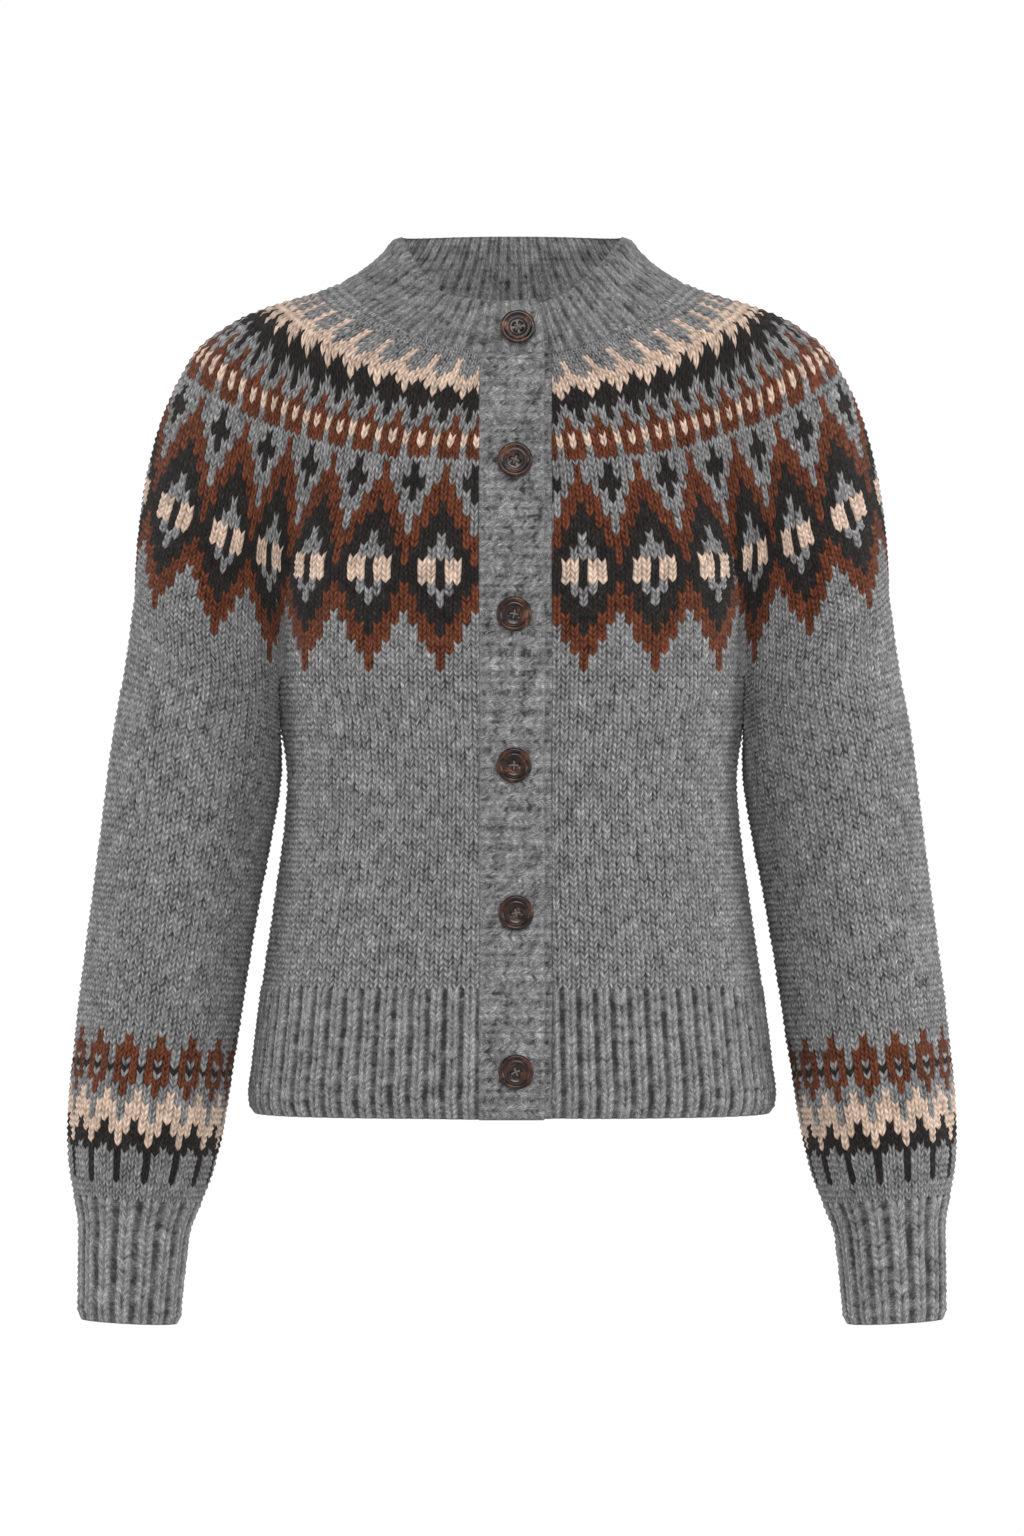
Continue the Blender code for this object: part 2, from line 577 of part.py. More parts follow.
def make_bands():
    """Front bands over the whole height; the right one laps over the left one."""
    body_levels = HEM_LEVELS[:-1] + [HEM_SEAM_Z] + BODY_LEVELS[1:-1]
    yoke_levels = [YOKE_BOTTOM_ROW] + YOKE_LEVELS[1:]
    for name, places, lift in (("buttonhole_band", UPPER_BAND_X, BAND_LIFT),
                               ("button_band", LOWER_BAND_X, -BAND_LIFT)):
        def body_columns(level, places=places):
            return [stitch_at_x(body_sheet, level, x) for x in places]

        def yoke_columns(level, places=places):
            return [stitch_at_x(yoke_sheet, level, x) for x in places]

        low = read_sheet(body_sheet, body_columns, body_levels, BODY_STEP)
        high = read_sheet(yoke_sheet, yoke_columns, yoke_levels, YOKE_STEP, (), yoke_levels[-1:])
        points = np.concatenate((low[0], high[0]))
        normals = np.concatenate((low[1], high[1]))
        wall(name, layered(points, normals, lift), normals, BAND_WALL)


def button_seat(x, z):
    """Place and backward tilt of a button on the upper band or the neckband's end."""
    if z > NECK_BUTTON_Z:
        sheet, levels, lift = neck_sheet, (0.1, 0.7), NECK_LIFT + RIB_DEPTH
    elif z > UNDERARM_Z:
        sheet, levels, lift = yoke_sheet, (YOKE_BOTTOM_ROW, YOKE_TOP_ROW), BAND_LIFT
    else:
        sheet, levels, lift = body_sheet, (HEM_Z, UNDERARM_Z), BAND_LIFT
    profile = np.array([sheet(np.array([0.3]), level)[0] for level in np.linspace(*levels, 80)])
    half = BUTTON_DIAMETER / 4
    low_y, y, high_y = np.interp((z - half, z, z + half), profile[:, 2], profile[:, 1])
    tilt = math.atan2(high_y - low_y, 2 * half)
    seat = lift + LAYER_GAP
    return (x, y - seat * math.cos(tilt), z + seat * math.sin(tilt)), tilt


def turned_disc():
    """Button disc with a raised rim, turned about Z from its section."""
    radius = BUTTON_DIAMETER / 2
    section = ((0, 0), (0.70 * radius, 0), (radius, 0.45 * BUTTON_THICKNESS),
               (0.92 * radius, BUTTON_THICKNESS), (0.78 * radius, 0.92 * BUTTON_THICKNESS),
               (0.64 * radius, BUTTON_DISH), (0, BUTTON_DISH))
    bm = bmesh.new()
    points = [bm.verts.new((r, 0, height)) for r, height in section]
    edges = [bm.edges.new(pair) for pair in zip(points, points[1:])]
    bmesh.ops.spin(bm, geom=points + edges, cent=(0, 0, 0), axis=(0, 0, 1), angle=2 * math.pi,
                   steps=16, use_merge=True)
    bmesh.ops.remove_doubles(bm, verts=bm.verts, dist=0.000001)
    return bm


def hole_pins():
    """Four pins that cut a button's holes."""
    bm = bmesh.new()
    for quarter in range(4):
        angle = math.pi / 4 + quarter * math.pi / 2
        pin = bmesh.ops.create_cone(bm, cap_ends=True, segments=6, radius1=BUTTON_HOLE,
                                    radius2=BUTTON_HOLE, depth=4 * BUTTON_THICKNESS)
        middle = (BUTTON_HOLE_SPREAD * math.cos(angle), BUTTON_HOLE_SPREAD * math.sin(angle), 0)
        bmesh.ops.translate(bm, verts=pin["verts"], vec=middle)
    return bm


def make_buttons():
    """Buttons, seated just clear of the upper band."""
    pins = new_object("button_pins", hole_pins(), finish("button_pins", HORN_BROWN, HORN_ROUGHNESS))
    pins.hide_render = True
    for number, (x, z) in enumerate(BUTTON_PLACES, start=1):
        name = "button_%d" % number
        button = new_object(name, turned_disc(), finish(name, HORN_BROWN, HORN_ROUGHNESS))
        place, tilt = button_seat(x, z)
        button.location = place
        button.rotation_euler = (math.pi / 2 - tilt, 0, 0)
        cutter = pins.copy()
        cutter.name = "button_pins_%d" % number
        cutter.parent = button
        bpy.context.scene.collection.objects.link(cutter)
        holes = button.modifiers.new("holes", "BOOLEAN")
        holes.operation = "DIFFERENCE"
        holes.object = cutter
    bpy.data.objects.remove(pins, do_unlink=True)


make_yoke()
make_body()
make_hem()
make_sleeves()
make_neckband()
make_bands()
make_buttons()
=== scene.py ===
"""Crewneck cardigan with a round patterned yoke: how its knitted pieces, bands and buttons look."""
import math

import bmesh
import bpy
import numpy as np
from mathutils import Matrix


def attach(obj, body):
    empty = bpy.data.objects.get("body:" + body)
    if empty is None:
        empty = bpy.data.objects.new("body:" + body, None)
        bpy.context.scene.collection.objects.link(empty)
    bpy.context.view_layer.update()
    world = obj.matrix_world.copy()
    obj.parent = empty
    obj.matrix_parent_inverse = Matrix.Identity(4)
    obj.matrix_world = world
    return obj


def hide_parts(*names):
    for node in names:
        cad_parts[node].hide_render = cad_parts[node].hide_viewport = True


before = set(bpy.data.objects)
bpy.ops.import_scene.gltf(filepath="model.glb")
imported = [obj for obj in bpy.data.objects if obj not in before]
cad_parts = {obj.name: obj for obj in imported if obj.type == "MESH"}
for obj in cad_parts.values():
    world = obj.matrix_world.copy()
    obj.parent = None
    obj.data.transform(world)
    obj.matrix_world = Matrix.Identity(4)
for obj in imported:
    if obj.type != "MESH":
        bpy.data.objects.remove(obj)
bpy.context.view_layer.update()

# ---------------------------------------------------------------- Hem rib
# The lower edge, where the knitting starts: knit one, purl one in thick grey wool, in three
# pieces that end at the front bands. Its ribs stand over deep grooves and its edge curls in.
HEM_Z = -0.5223
HEM_SEAM_Z = -0.441
BODY_QUARTER = 36                # stitches from the centre line to the side
HEM_RIBS_PER_QUARTER = 20
HEM_ROWS = 24
RIB_WALL = 0.0030                # from the foot of a rib to the inside
BODY_POWER = 2.6                 # superellipse power of the body's section
FRONT_NARROWING = 0.02
RIGHT_EDGE_X = -0.0203           # where the right and left front meet their bands
LEFT_EDGE_X = 0.0252
FRONT_RAMP = (0.020, 0.060)      # |x| over which a front rises or sinks to its band
PANEL_LIFT = 0.0019
FRONT_REACH = 16                 # stitches each way in which a front edge is looked for
ACROSS_REACH = 0.3               # stitches each way that give the direction across


def table(names, rows):
    """A short table as one array for each named column, with its slopes along the first column."""
    columns = {name: np.array(values) for name, values in zip(names.split(), zip(*rows))}
    key = columns[names.split()[0]]
    return columns | {name + "_slope": np.gradient(values, key) for name, values in columns.items()}


BODY = table("drop half_width front back", (
    (0.200, 0.1520, 0.1060, 0.1060),
    (0.246, 0.1520, 0.1060, 0.1060),
    (0.275, 0.1470, 0.1055, 0.1030),
    (0.305, 0.1423, 0.1040, 0.0985),
    (0.340, 0.1440, 0.1040, 0.0960),
    (0.387, 0.1502, 0.1055, 0.0975),
    (0.441, 0.1580, 0.1075, 0.1010),
    (0.490, 0.1640, 0.1100, 0.1050),
    (0.512, 0.1662, 0.1105, 0.1065),
    (0.5223, 0.1645, 0.1090, 0.1050),
))


def hermite(start, leave, end, arrive, share):
    """Cubic between two ends with given tangents."""
    turn = share * share * (3 - 2 * share)
    out = share * (1 - share) ** 2
    back = share * share * (share - 1)
    return start * (1 - turn) + end * turn + leave * out + arrive * back


def along(sections, key, name, at):
    """Smooth value of a table's column where its key column reaches `at`."""
    keys = sections[key]
    values = sections[name]
    slopes = sections[name + "_slope"]
    at = np.clip(at, keys[0], keys[-1])
    low = np.clip(np.searchsorted(keys, at, side="right"), 1, len(keys) - 1) - 1
    span = keys[low + 1] - keys[low]
    share = (at - keys[low]) / span
    return hermite(values[low], slopes[low] * span, values[low + 1], slopes[low + 1] * span, share)


def smooth_step(low, high, at):
    """0 up to low, 1 from high on, and a soft rise between them."""
    share = np.clip((at - low) / (high - low), 0, 1)
    return share * share * (3 - 2 * share)


def quarter_arc(half_width, half_depth, share):
    """Point of a superellipse's quarter at a share of its length from the centre line."""
    turn = np.linspace(0, math.pi / 2, 361)
    x = half_width * np.sin(turn) ** (2 / BODY_POWER)
    y = half_depth * np.cos(turn) ** (2 / BODY_POWER)
    length = np.concatenate(([0], np.cumsum(np.hypot(np.diff(x), np.diff(y)))))
    length /= length[-1]
    return np.interp(share, length, x), np.interp(share, length, y)


def wrapped(stitches, quarter):
    """Stitches counted on past the centre back, as stitches of the wearer's right side."""
    stitches = np.asarray(stitches, dtype=float)
    return np.where(stitches > 2 * quarter, stitches - 4 * quarter, stitches)


def body_sheet(stitches, z):
    """Points round the body; stitch 0 is at centre front and +X has positive stitches."""
    stitches = wrapped(stitches, BODY_QUARTER)
    half_width = along(BODY, "drop", "half_width", -z)
    front = along(BODY, "drop", "front", -z)
    back = along(BODY, "drop", "back", -z)
    count = np.abs(stitches)
    in_front = count <= BODY_QUARTER
    share = np.where(in_front, count, 2 * BODY_QUARTER - count) / BODY_QUARTER
    share = share - FRONT_NARROWING * np.sin(math.pi * share)
    front_x, front_y = quarter_arc(half_width, front, share)
    back_x, back_y = quarter_arc(half_width, back, share)
    x = np.sign(stitches) * np.where(in_front, front_x, back_x)
    y = np.where(in_front, -front_y, back_y)
    return np.stack((x, y, np.full_like(x, z)), axis=-1)


def stitch_at_x(sheet, level, x):
    """Stitches of a front sheet that lie at x on a level."""
    reach = np.linspace(-FRONT_REACH, FRONT_REACH, 8 * FRONT_REACH + 1)
    return np.interp(x, sheet(reach, level)[:, 0], reach)


def layered(points, normals, lift):
    """Moves a sheet out, or in with a negative lift, where it nears the front bands."""
    near = 1 - smooth_step(*FRONT_RAMP, np.abs(points[..., 0]))
    amount = lift * near * (points[..., 1] < 0)
    return points + normals * amount[..., None]


def front_layers(points, normals):
    """The right front rises to the upper band and the left front sinks to the lower one."""
    return layered(points, normals, np.where(points[..., 0] < 0, PANEL_LIFT, -PANEL_LIFT))


def one_long(vectors):
    """Vectors of the same directions, each one long."""
    return vectors / np.linalg.norm(vectors, axis=-1, keepdims=True)


def read_sheet(sheet, levels, columns, limits=None, turned=1):
    """Points, outward normals and the directions across, at every column of every level."""
    points = []
    across = []
    for level in levels:
        at = columns if limits is None else np.clip(columns, *limits(level))
        points.append(sheet(at, level))
        across.append(sheet(at + ACROSS_REACH, level) - sheet(at - ACROSS_REACH, level))
    points = np.array(points)
    across = one_long(np.array(across))
    return points, turned * one_long(np.cross(across, np.gradient(points, axis=0))), across


chance = np.random.default_rng(41)      # the unevenness of handwork, the same in each run


def uneven(shape, spacing, amount):
    """Smooth random amounts that are nothing at the sheet's edges."""
    rows, columns = (np.arange(count) / step for count, step in zip(shape, spacing))
    coarse = chance.normal(0, amount, (int(rows[-1]) + 2, int(columns[-1]) + 2))
    coarse[:, [0, 1, -2, -1]] = 0
    coarse[[0, 1, -2, -1]] = 0
    r, c = rows.astype(int), columns.astype(int)
    down, side = (rows - r)[:, None], (columns - c)[None, :]
    low = coarse[r][:, c] * (1 - side) + coarse[r][:, c + 1] * side
    high = coarse[r + 1][:, c] * (1 - side) + coarse[r + 1][:, c + 1] * side
    return low * (1 - down) + high * down


def tiled(unit, shape):
    """A small repeat laid over a whole sheet of points."""
    unit = np.array(unit, dtype=float)
    return np.tile(unit, (shape[0] // unit.shape[0] + 1, shape[1] // unit.shape[1] + 1))[:shape[0], :shape[1]]


def lifted(directions, amounts):
    """Steps along directions, by amounts in millimetres."""
    return directions * (amounts / 1000)[..., None]


def slid(points, shift):
    """Points moved along their own wales by a number of rows of points."""
    rows = np.arange(len(points))[:, None] + shift
    low = np.clip(np.floor(rows), 0, len(points) - 2).astype(int)
    share = (rows - low)[..., None]
    column = np.arange(points.shape[1])[None, :]
    return points[low, column] * (1 - share) + points[low + 1, column] * share


# One repeat of each knitted surface: heights in millimetres and slides in half rows for each column of
# points, and how much shade is painted on each point, most in the gaps; the first row is where two stitches
# meet
RIB = {
    "places": (0, 0.11, 0.19, 0.34, 0.5, 0.66, 0.81, 0.89),
    "heights": ((-1.5, -1.3, 0.0, 0.70, -0.05, 0.70, 0.0, -1.3),
                (-0.9, -1.0, 0.55, 1.35, 0.45, 1.35, 0.55, -1.0)),
    "slides": ((0, 0, 0.6, 0, -0.9, 0, 0.6, 0),) * 2,
    # painted shade, most in the grooves between ribs
    "painted_shades": ((1.34, 1.29, 0.98, 0.62, 1.18, 0.62, 0.98, 1.29),
                (1.30, 1.24, 0.58, 0.22, 0.95, 0.22, 0.58, 1.24)),
    "lean": (0, 0, 1, 1, -1, -1, 0, 0),       # of the yarn between two columns; 0 lies across
    "width": 11.0, "row": 3.6, "strand": 2, "shake": 0.20,
}
SMOOTH_END = (2, 0.35)           # rows of points over which an open end lies smooth, and its least share


def plan(stitch, shape, open_foot, open_top):
    """Slides, heights and painted shade over a sheet; an open end of the knitting lies smooth."""
    reach, low = SMOOTH_END
    keep = np.ones(shape)
    rows = np.arange(shape[0])[:, None]
    if open_foot:
        keep = keep * smooth_step(0, reach, rows)
    if open_top:
        keep = keep * smooth_step(0, reach, rows[::-1])
    slides = tiled(stitch["slides"], shape) * keep
    heights = tiled(stitch["heights"], shape) * (low + (1 - low) * keep)
    return slides, heights, tiled(stitch["painted_shades"], shape)


def mesh_from(bm, name):
    """Writes a bmesh to a new mesh and frees it."""
    mesh = bpy.data.meshes.new(name)
    bm.to_mesh(mesh)
    bm.free()
    return mesh


def grid_mesh(points, layout):
    """Mesh of a sheet of points; layout gives its painted shade, yarn directions and material slots."""
    rows, columns = points.shape[:2]
    bm = bmesh.new()
    bm.loops.layers.uv.new("yarn")
    bmesh.ops.create_grid(bm, x_segments=columns - 1, y_segments=rows - 1, size=1, calc_uvs=True)
    mesh = mesh_from(bm, "knit")
    mesh.vertices.foreach_set("co", points.ravel())
    corners = np.empty(len(mesh.loops), dtype=np.int32)
    mesh.loops.foreach_get("vertex_index", corners)
    row, column = np.divmod(corners.reshape(-1, 4), columns)
    painted_shades, yarn, material = layout(row, column)
    # each point's painted shade, stored for the material
    mesh.attributes.new("painted_shade", "FLOAT", "POINT").data.foreach_set("value", painted_shades.ravel())
    mesh.uv_layers["yarn"].uv.foreach_set("vector", yarn.astype(np.float32).ravel())
    mesh.polygons.foreach_set("material_index", material.astype(np.int32))
    return mesh


YARN_LEAN = math.radians(24)
STRAND_JUMPS = (7.31, 3.17, 97)          # so that no two strands next to each other share their fibres
# painted shade on the inner faces, the same all over
INSIDE_PAINTED_SHADE = 0.3


def yarn_layout(stitch, painted_shades, colours):
    """Layout of an outer face: yarn runs up each half of a stitch and leans away from its middle."""
    points = len(stitch["places"])
    places = np.array(stitch["places"] + (1,))
    lean = np.array(stitch["lean"])
    aside, up, most = STRAND_JUMPS

    def layout(row, column):
        face_row = row.min(axis=1, keepdims=True)
        face_column = column.min(axis=1, keepdims=True)
        whole = face_column // points
        x = (whole + places[column - whole * points]) * stitch["width"]
        y = row * stitch["row"] / 2
        side = lean[face_column % points]
        turn = np.where(side == 0, math.pi / 2, side * YARN_LEAN)
        strand = (face_column // stitch["strand"] * aside + face_row // 2 * up) % most
        yarn = np.stack((x * np.cos(turn) + y * np.sin(turn) + strand,
                         -x * np.sin(turn) + y * np.cos(turn) + strand), axis=-1)
        return painted_shades, yarn, colours((face_row // 2)[:, 0], whole[:, 0])
    return layout


def plain_colour(rows, columns):
    """The first yarn for every stitch."""
    return np.zeros(len(rows))


def inside_layout(index, shape, size):
    """Layout of an inner face, in millimetres across and up."""
    def layout(row, column):
        yarn = np.stack((column * size[0], row * size[1]), axis=-1)
        return np.full(shape, INSIDE_PAINTED_SHADE), yarn, np.full(len(row), index)
    return layout


MERGE_DISTANCE = 0.0000005


def placed(name, data):
    """A new object at the origin, linked to the scene."""
    thing = bpy.data.objects.new(name, data)
    bpy.context.scene.collection.objects.link(thing)
    return thing


def shell(name, outer, inner, materials, closed=False):
    """Joins an outer and an inner face into one closed wall; closed tubes are merged up their seam."""
    bm = bmesh.new()
    bm.from_mesh(outer)
    bm.from_mesh(inner)
    if closed:
        bmesh.ops.remove_doubles(bm, verts=[v for v in bm.verts if v.is_boundary], dist=MERGE_DISTANCE)
    for face in bm.faces:
        face.smooth = True
    rim = [edge for edge in bm.edges if edge.is_boundary]
    if closed:
        heights = [edge.verts[0].co.z for edge in rim]
        middle = (min(heights) + max(heights)) / 2
        ends = [e for e in rim if e.verts[0].co.z < middle], [e for e in rim if e.verts[0].co.z >= middle]
    else:
        ends = (rim,)
    for end in ends:
        for face in bmesh.ops.bridge_loops(bm, edges=end)["faces"]:
            face.smooth = False
    bmesh.ops.remove_doubles(bm, verts=bm.verts, dist=MERGE_DISTANCE)
    bmesh.ops.recalc_face_normals(bm, faces=bm.faces)
    mesh = mesh_from(bm, name)
    for old in (outer, inner):
        bpy.data.meshes.remove(old)
    for material in materials:
        mesh.materials.append(material)
    thing = placed(name, mesh)
    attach(thing, "root")
    return thing


# Soft folds of the worn cloth, in metres: from, to, half-width, and how far out; minus is inwards
CREASES = (
    ((-0.112, -0.085, -0.262), (-0.060, -0.104, -0.300), 0.010, -0.0016),
    ((-0.122, -0.080, -0.300), (-0.072, -0.100, -0.330), 0.009, 0.0014),
    ((-0.100, -0.094, -0.372), (-0.040, -0.106, -0.352), 0.008, -0.0013),
    ((-0.128, -0.084, -0.408), (-0.075, -0.103, -0.418), 0.009, 0.0015),
    ((-0.050, -0.107, -0.400), (-0.030, -0.108, -0.300), 0.011, 0.0012),
    ((0.110, -0.086, -0.258), (0.062, -0.103, -0.290), 0.010, 0.0016),
    ((0.120, -0.082, -0.318), (0.066, -0.102, -0.336), 0.009, -0.0015),
    ((0.104, -0.092, -0.340), (0.082, -0.100, -0.412), 0.008, 0.0015),
    ((0.060, -0.105, -0.360), (0.086, -0.099, -0.404), 0.007, -0.0014),
    ((0.045, -0.107, -0.420), (0.120, -0.090, -0.428), 0.010, 0.0013),
    ((-0.105, 0.085, -0.270), (-0.050, 0.098, -0.310), 0.012, 0.0018),
    ((0.095, 0.088, -0.262), (0.040, 0.099, -0.330), 0.011, -0.0018),
    ((-0.080, 0.094, -0.350), (0.010, 0.099, -0.372), 0.013, -0.0016),
    ((0.120, 0.080, -0.380), (0.050, 0.099, -0.410), 0.010, 0.0016),
    ((-0.240, -0.052, -0.330), (-0.190, -0.062, -0.300), 0.010, -0.0018),
    ((-0.252, -0.045, -0.395), (-0.205, -0.058, -0.376), 0.011, 0.0017),
    ((-0.262, -0.038, -0.455), (-0.222, -0.058, -0.470), 0.010, -0.0016),
    ((-0.225, -0.060, -0.420), (-0.205, -0.056, -0.520), 0.009, 0.0012),
    ((0.236, -0.052, -0.300), (0.186, -0.060, -0.332), 0.011, 0.0017),
    ((0.250, -0.046, -0.372), (0.208, -0.060, -0.362), 0.010, -0.0016),
    ((0.262, -0.040, -0.440), (0.220, -0.059, -0.418), 0.010, 0.0018),
    ((0.268, -0.036, -0.500), (0.224, -0.056, -0.512), 0.010, -0.0015),
    ((-0.235, 0.048, -0.320), (-0.190, 0.056, -0.350), 0.012, 0.0018),
    ((-0.250, 0.036, -0.420), (-0.215, 0.044, -0.400), 0.011, -0.0017),
    ((0.236, 0.048, -0.340), (0.195, 0.055, -0.310), 0.012, -0.0018),
    ((0.252, 0.036, -0.410), (0.214, 0.045, -0.440), 0.011, 0.0017),
)

# Where an arm hangs beside the body its cloth sinks in along a line: the line's x, and how far
ARMHOLE = table("drop x depth", (
    (0.100, 0.158, 0.000),
    (0.171, 0.153, 0.009),
    (0.222, 0.146, 0.020),
    (0.286, 0.144, 0.022),
    (0.340, 0.145, 0.018),
    (0.450, 0.152, 0.008),
    (0.540, 0.160, 0.000),
))
ARMHOLE_WIDTHS = (0.040, 0.040 / 6)      # towards the arm and towards the body
ARMHOLE_FADE = (0.004, 0.040)            # |y| over which the sinking sets in


def creased(points, normals):
    """Sinks the cloth in beside the arms and presses its soft folds in."""
    drop, x, y = -points[..., 2], points[..., 0], points[..., 1]
    beyond = np.abs(x) - np.interp(drop, ARMHOLE["drop"], ARMHOLE["x"])
    width = np.where(beyond > 0, *ARMHOLE_WIDTHS)
    sink = np.interp(drop, ARMHOLE["drop"], ARMHOLE["depth"]) * np.exp(-(beyond / width) ** 2)
    sink = np.sign(y) * sink * smooth_step(*ARMHOLE_FADE, np.abs(y))
    points = points - np.stack((0 * x, sink, 0 * x), axis=-1)
    depth = np.zeros(points.shape[:2])
    for start, end, width, fold in CREASES:
        start, end = np.array(start), np.array(end)
        run = end - start
        share = np.clip(((points - start) @ run) / (run @ run), 0, 1)
        away = np.linalg.norm(points - start - share[..., None] * run, axis=-1)
        depth += fold * np.exp(-(away / width) ** 2)
    return points + normals * depth[..., None]


# How stitches differ, for single points and then for half stitches; heights are in millimetres
HEIGHT_SHAKES = (0.13, 0.16)
# how the painted shade differs, for single points and then for half stitches
PAINTED_SHADE_SHAKES = (0.12, 0.22)
WANDER = 0.30                            # sideways, in millimetres
CUT_EDGE_HEIGHT = -0.2
CURL = 1.6                               # how far an open foot curls in, over as many rows
TUCK = (1.0, 1.1)                        # half rows that an upper edge runs on, and how far it sinks
INSIDE_STEP = 8                          # rows and columns of points to each one on the inside


def knitted(name, sheet, levels, columns, stitch, wall, materials, limits=None, turned=1, layer=None,
            colours=plain_colour, open_foot=False, tucked=False, closed=False):
    """A knitted piece as a closed wall; an open foot curls in, a tucked upper edge goes under the next."""
    points, normals, across = read_sheet(sheet, levels, columns, limits, turned)
    if layer:
        points = layer(points, normals)
    points = creased(points, normals)
    shape = points.shape[:2]
    slides, heights, painted_shades = plan(stitch, shape, open_foot, False)
    whole = len(stitch["places"])
    still = np.ones(shape)
    still[[0, -1]] = 0                   # so that the pieces meet
    slides = slides + uneven(shape, (2, whole), stitch["shake"]) * still
    single, half = HEIGHT_SHAKES
    heights = heights + (uneven(shape, (1, 1), single) + uneven(shape, (2, whole / 2), half)) * still
    single, half = PAINTED_SHADE_SHAKES
    painted_shades = painted_shades + uneven(shape, (2, whole / 2), half) + uneven(shape, (1, 1), single)
    wander = uneven(shape, (4, whole), WANDER) * still
    if limits is not None:
        low, high = np.array([limits(level) for level in levels]).T
        on_cut = (columns[None, :] <= low[:, None]) | (columns[None, :] >= high[:, None])
        slides[on_cut] = 0
        wander[on_cut] = 0
        heights[on_cut] = CUT_EDGE_HEIGHT
    if open_foot:
        heights = heights - CURL * (1 - smooth_step(0, CURL, np.arange(shape[0])[:, None] / 2))
    if tucked:                           # inside the next piece's wall
        slides[-1] += TUCK[0]
        heights[-1] -= TUCK[1]
    outer = slid(points, slides) + lifted(slid(normals, slides), heights) + lifted(across, wander)
    inner = (points - normals * wall)[::INSIDE_STEP, ::INSIDE_STEP]
    if closed:
        outer[:, -1] = outer[:, 0]
        inner[:, -1] = inner[:, 0]
    fine = grid_mesh(outer, yarn_layout(stitch, painted_shades, colours))
    cell = INSIDE_STEP / whole * stitch["width"], INSIDE_STEP / 2 * stitch["row"]
    coarse = grid_mesh(inner, inside_layout(len(materials) - 1, inner.shape[:2], cell))
    return shell(name, fine, coarse, materials, closed)


def linear(colour):
    """An sRGB hex colour as linear values with full alpha."""
    parts = [int(colour[k:k + 2], 16) / 255 for k in (1, 3, 5)]
    return tuple(p / 12.92 if p <= 0.04045 else ((p + 0.055) / 1.055) ** 2.4 for p in parts) + (1,)


def add_node(tree, kind, sockets, **settings):
    """Adds a node, sets it up, and fills or links its sockets."""
    node = tree.nodes.new(kind)
    for name, value in settings.items():
        setattr(node, name, value)
    for socket, value in sockets.items():
        if isinstance(value, bpy.types.NodeSocket):
            tree.links.new(value, node.inputs[socket])
        else:
            node.inputs[socket].default_value = value
    return node


def shade_stops(ramp, stops):
    """Sets the stops of a colour ramp from places and sRGB colours."""
    elements = ramp.color_ramp.elements
    while len(elements) < len(stops):
        elements.new(0.5)
    for element, (place, colour) in zip(elements, stops):
        element.position = place
        element.color = linear(colour)


def new_material(name, shader_values):
    """A new material with its shader's own values set; also gives its node tree and shader."""
    material = bpy.data.materials.new(name)
    material.use_nodes = True
    shader = material.node_tree.nodes["Principled BSDF"]
    for socket, value in shader_values.items():
        shader.inputs[socket].default_value = value
    return material, material.node_tree, shader


def wool(name, dark, middle, light, sheen=0.10, painted_shade_strength=0.66):
    """Softly spun wool: fibre streaks along the yarn, painted shade between stitches, a dull surface with a
    faint bloom.
    """
    material, tree, shader = new_material(name, {"Roughness": 0.92, "Specular IOR Level": 0.15,
                                                 "Sheen Weight": sheen, "Sheen Roughness": 0.6})
    yarn = add_node(tree, "ShaderNodeUVMap", {}, uv_map="yarn")
    # Fibres show as streaks 0.6 mm across and 2.5 mm along, coarser than real ones, to show in the render
    streaks = add_node(tree, "ShaderNodeMapping", {"Vector": yarn.outputs[0], "Scale": (1.6, 0.4, 1)})
    fibre = add_node(tree, "ShaderNodeTexNoise", {"Vector": streaks.outputs[0], "Scale": 1.0, "Detail": 5.0,
                                                 "Roughness": 0.68})
    tone = add_node(tree, "ShaderNodeValToRGB", {"Fac": fibre.outputs[0]})
    shade_stops(tone, ((0.32, dark), (0.50, middle), (0.70, light)))
    # Tufts of pale fibre lie 1 mm wide and 3 mm long in the yarn
    tufts = add_node(tree, "ShaderNodeMapping", {"Vector": yarn.outputs[0], "Location": (37, 11, 0),
                                                "Scale": (0.95, 0.33, 1)})
    fleck = add_node(tree, "ShaderNodeTexNoise", {"Vector": tufts.outputs[0], "Scale": 1.0, "Detail": 3.0})
    pale = add_node(tree, "ShaderNodeMapRange", {"Value": fleck.outputs[0], "From Min": 0.56,
                                                "From Max": 0.70, "To Min": 0.0, "To Max": 0.75})
    mixed = add_node(tree, "ShaderNodeMix", {0: pale.outputs[0], 6: tone.outputs[0], 7: linear(light)},
                     data_type="RGBA")
    # Batches of fleece differ over 12 mm
    place = add_node(tree, "ShaderNodeTexCoord", {})
    batch = add_node(tree, "ShaderNodeTexNoise", {"Vector": place.outputs["Object"], "Scale": 85.0,
                                                 "Detail": 2.0})
    shade = add_node(tree, "ShaderNodeMapRange", {"Value": batch.outputs[0], "From Min": 0.3, "From Max": 0.7,
                                                 "To Min": 0.88, "To Max": 1.12})
    varied = add_node(tree, "ShaderNodeVectorMath", {0: mixed.outputs[2], "Scale": shade.outputs[0]},
                      operation="SCALE")
    # Painted shade: the colour is lighter on the stitches' ridges and darker in the gaps between them, by
    # each point's shade amount
    painted_shade = add_node(tree, "ShaderNodeAttribute", {}, attribute_name="painted_shade")
    gap = add_node(tree, "ShaderNodeMapRange", {"Value": painted_shade.outputs["Fac"],
                                               "From Min": -0.2, "From Max": 1.5,
                                               "To Min": 1.12 + 0.2 * painted_shade_strength,
                                               "To Max": 1.12 - 1.5 * painted_shade_strength})
    colour = add_node(tree, "ShaderNodeVectorMath", {0: varied.outputs[0], "Scale": gap.outputs[0]},
                      operation="SCALE")
    tree.links.new(colour.outputs[0], shader.inputs["Base Color"])
    bump = add_node(tree, "ShaderNodeBump", {"Height": fibre.outputs[0], "Strength": 0.6, "Distance": 0.0008})
    tree.links.new(bump.outputs[0], shader.inputs["Normal"])
    return material


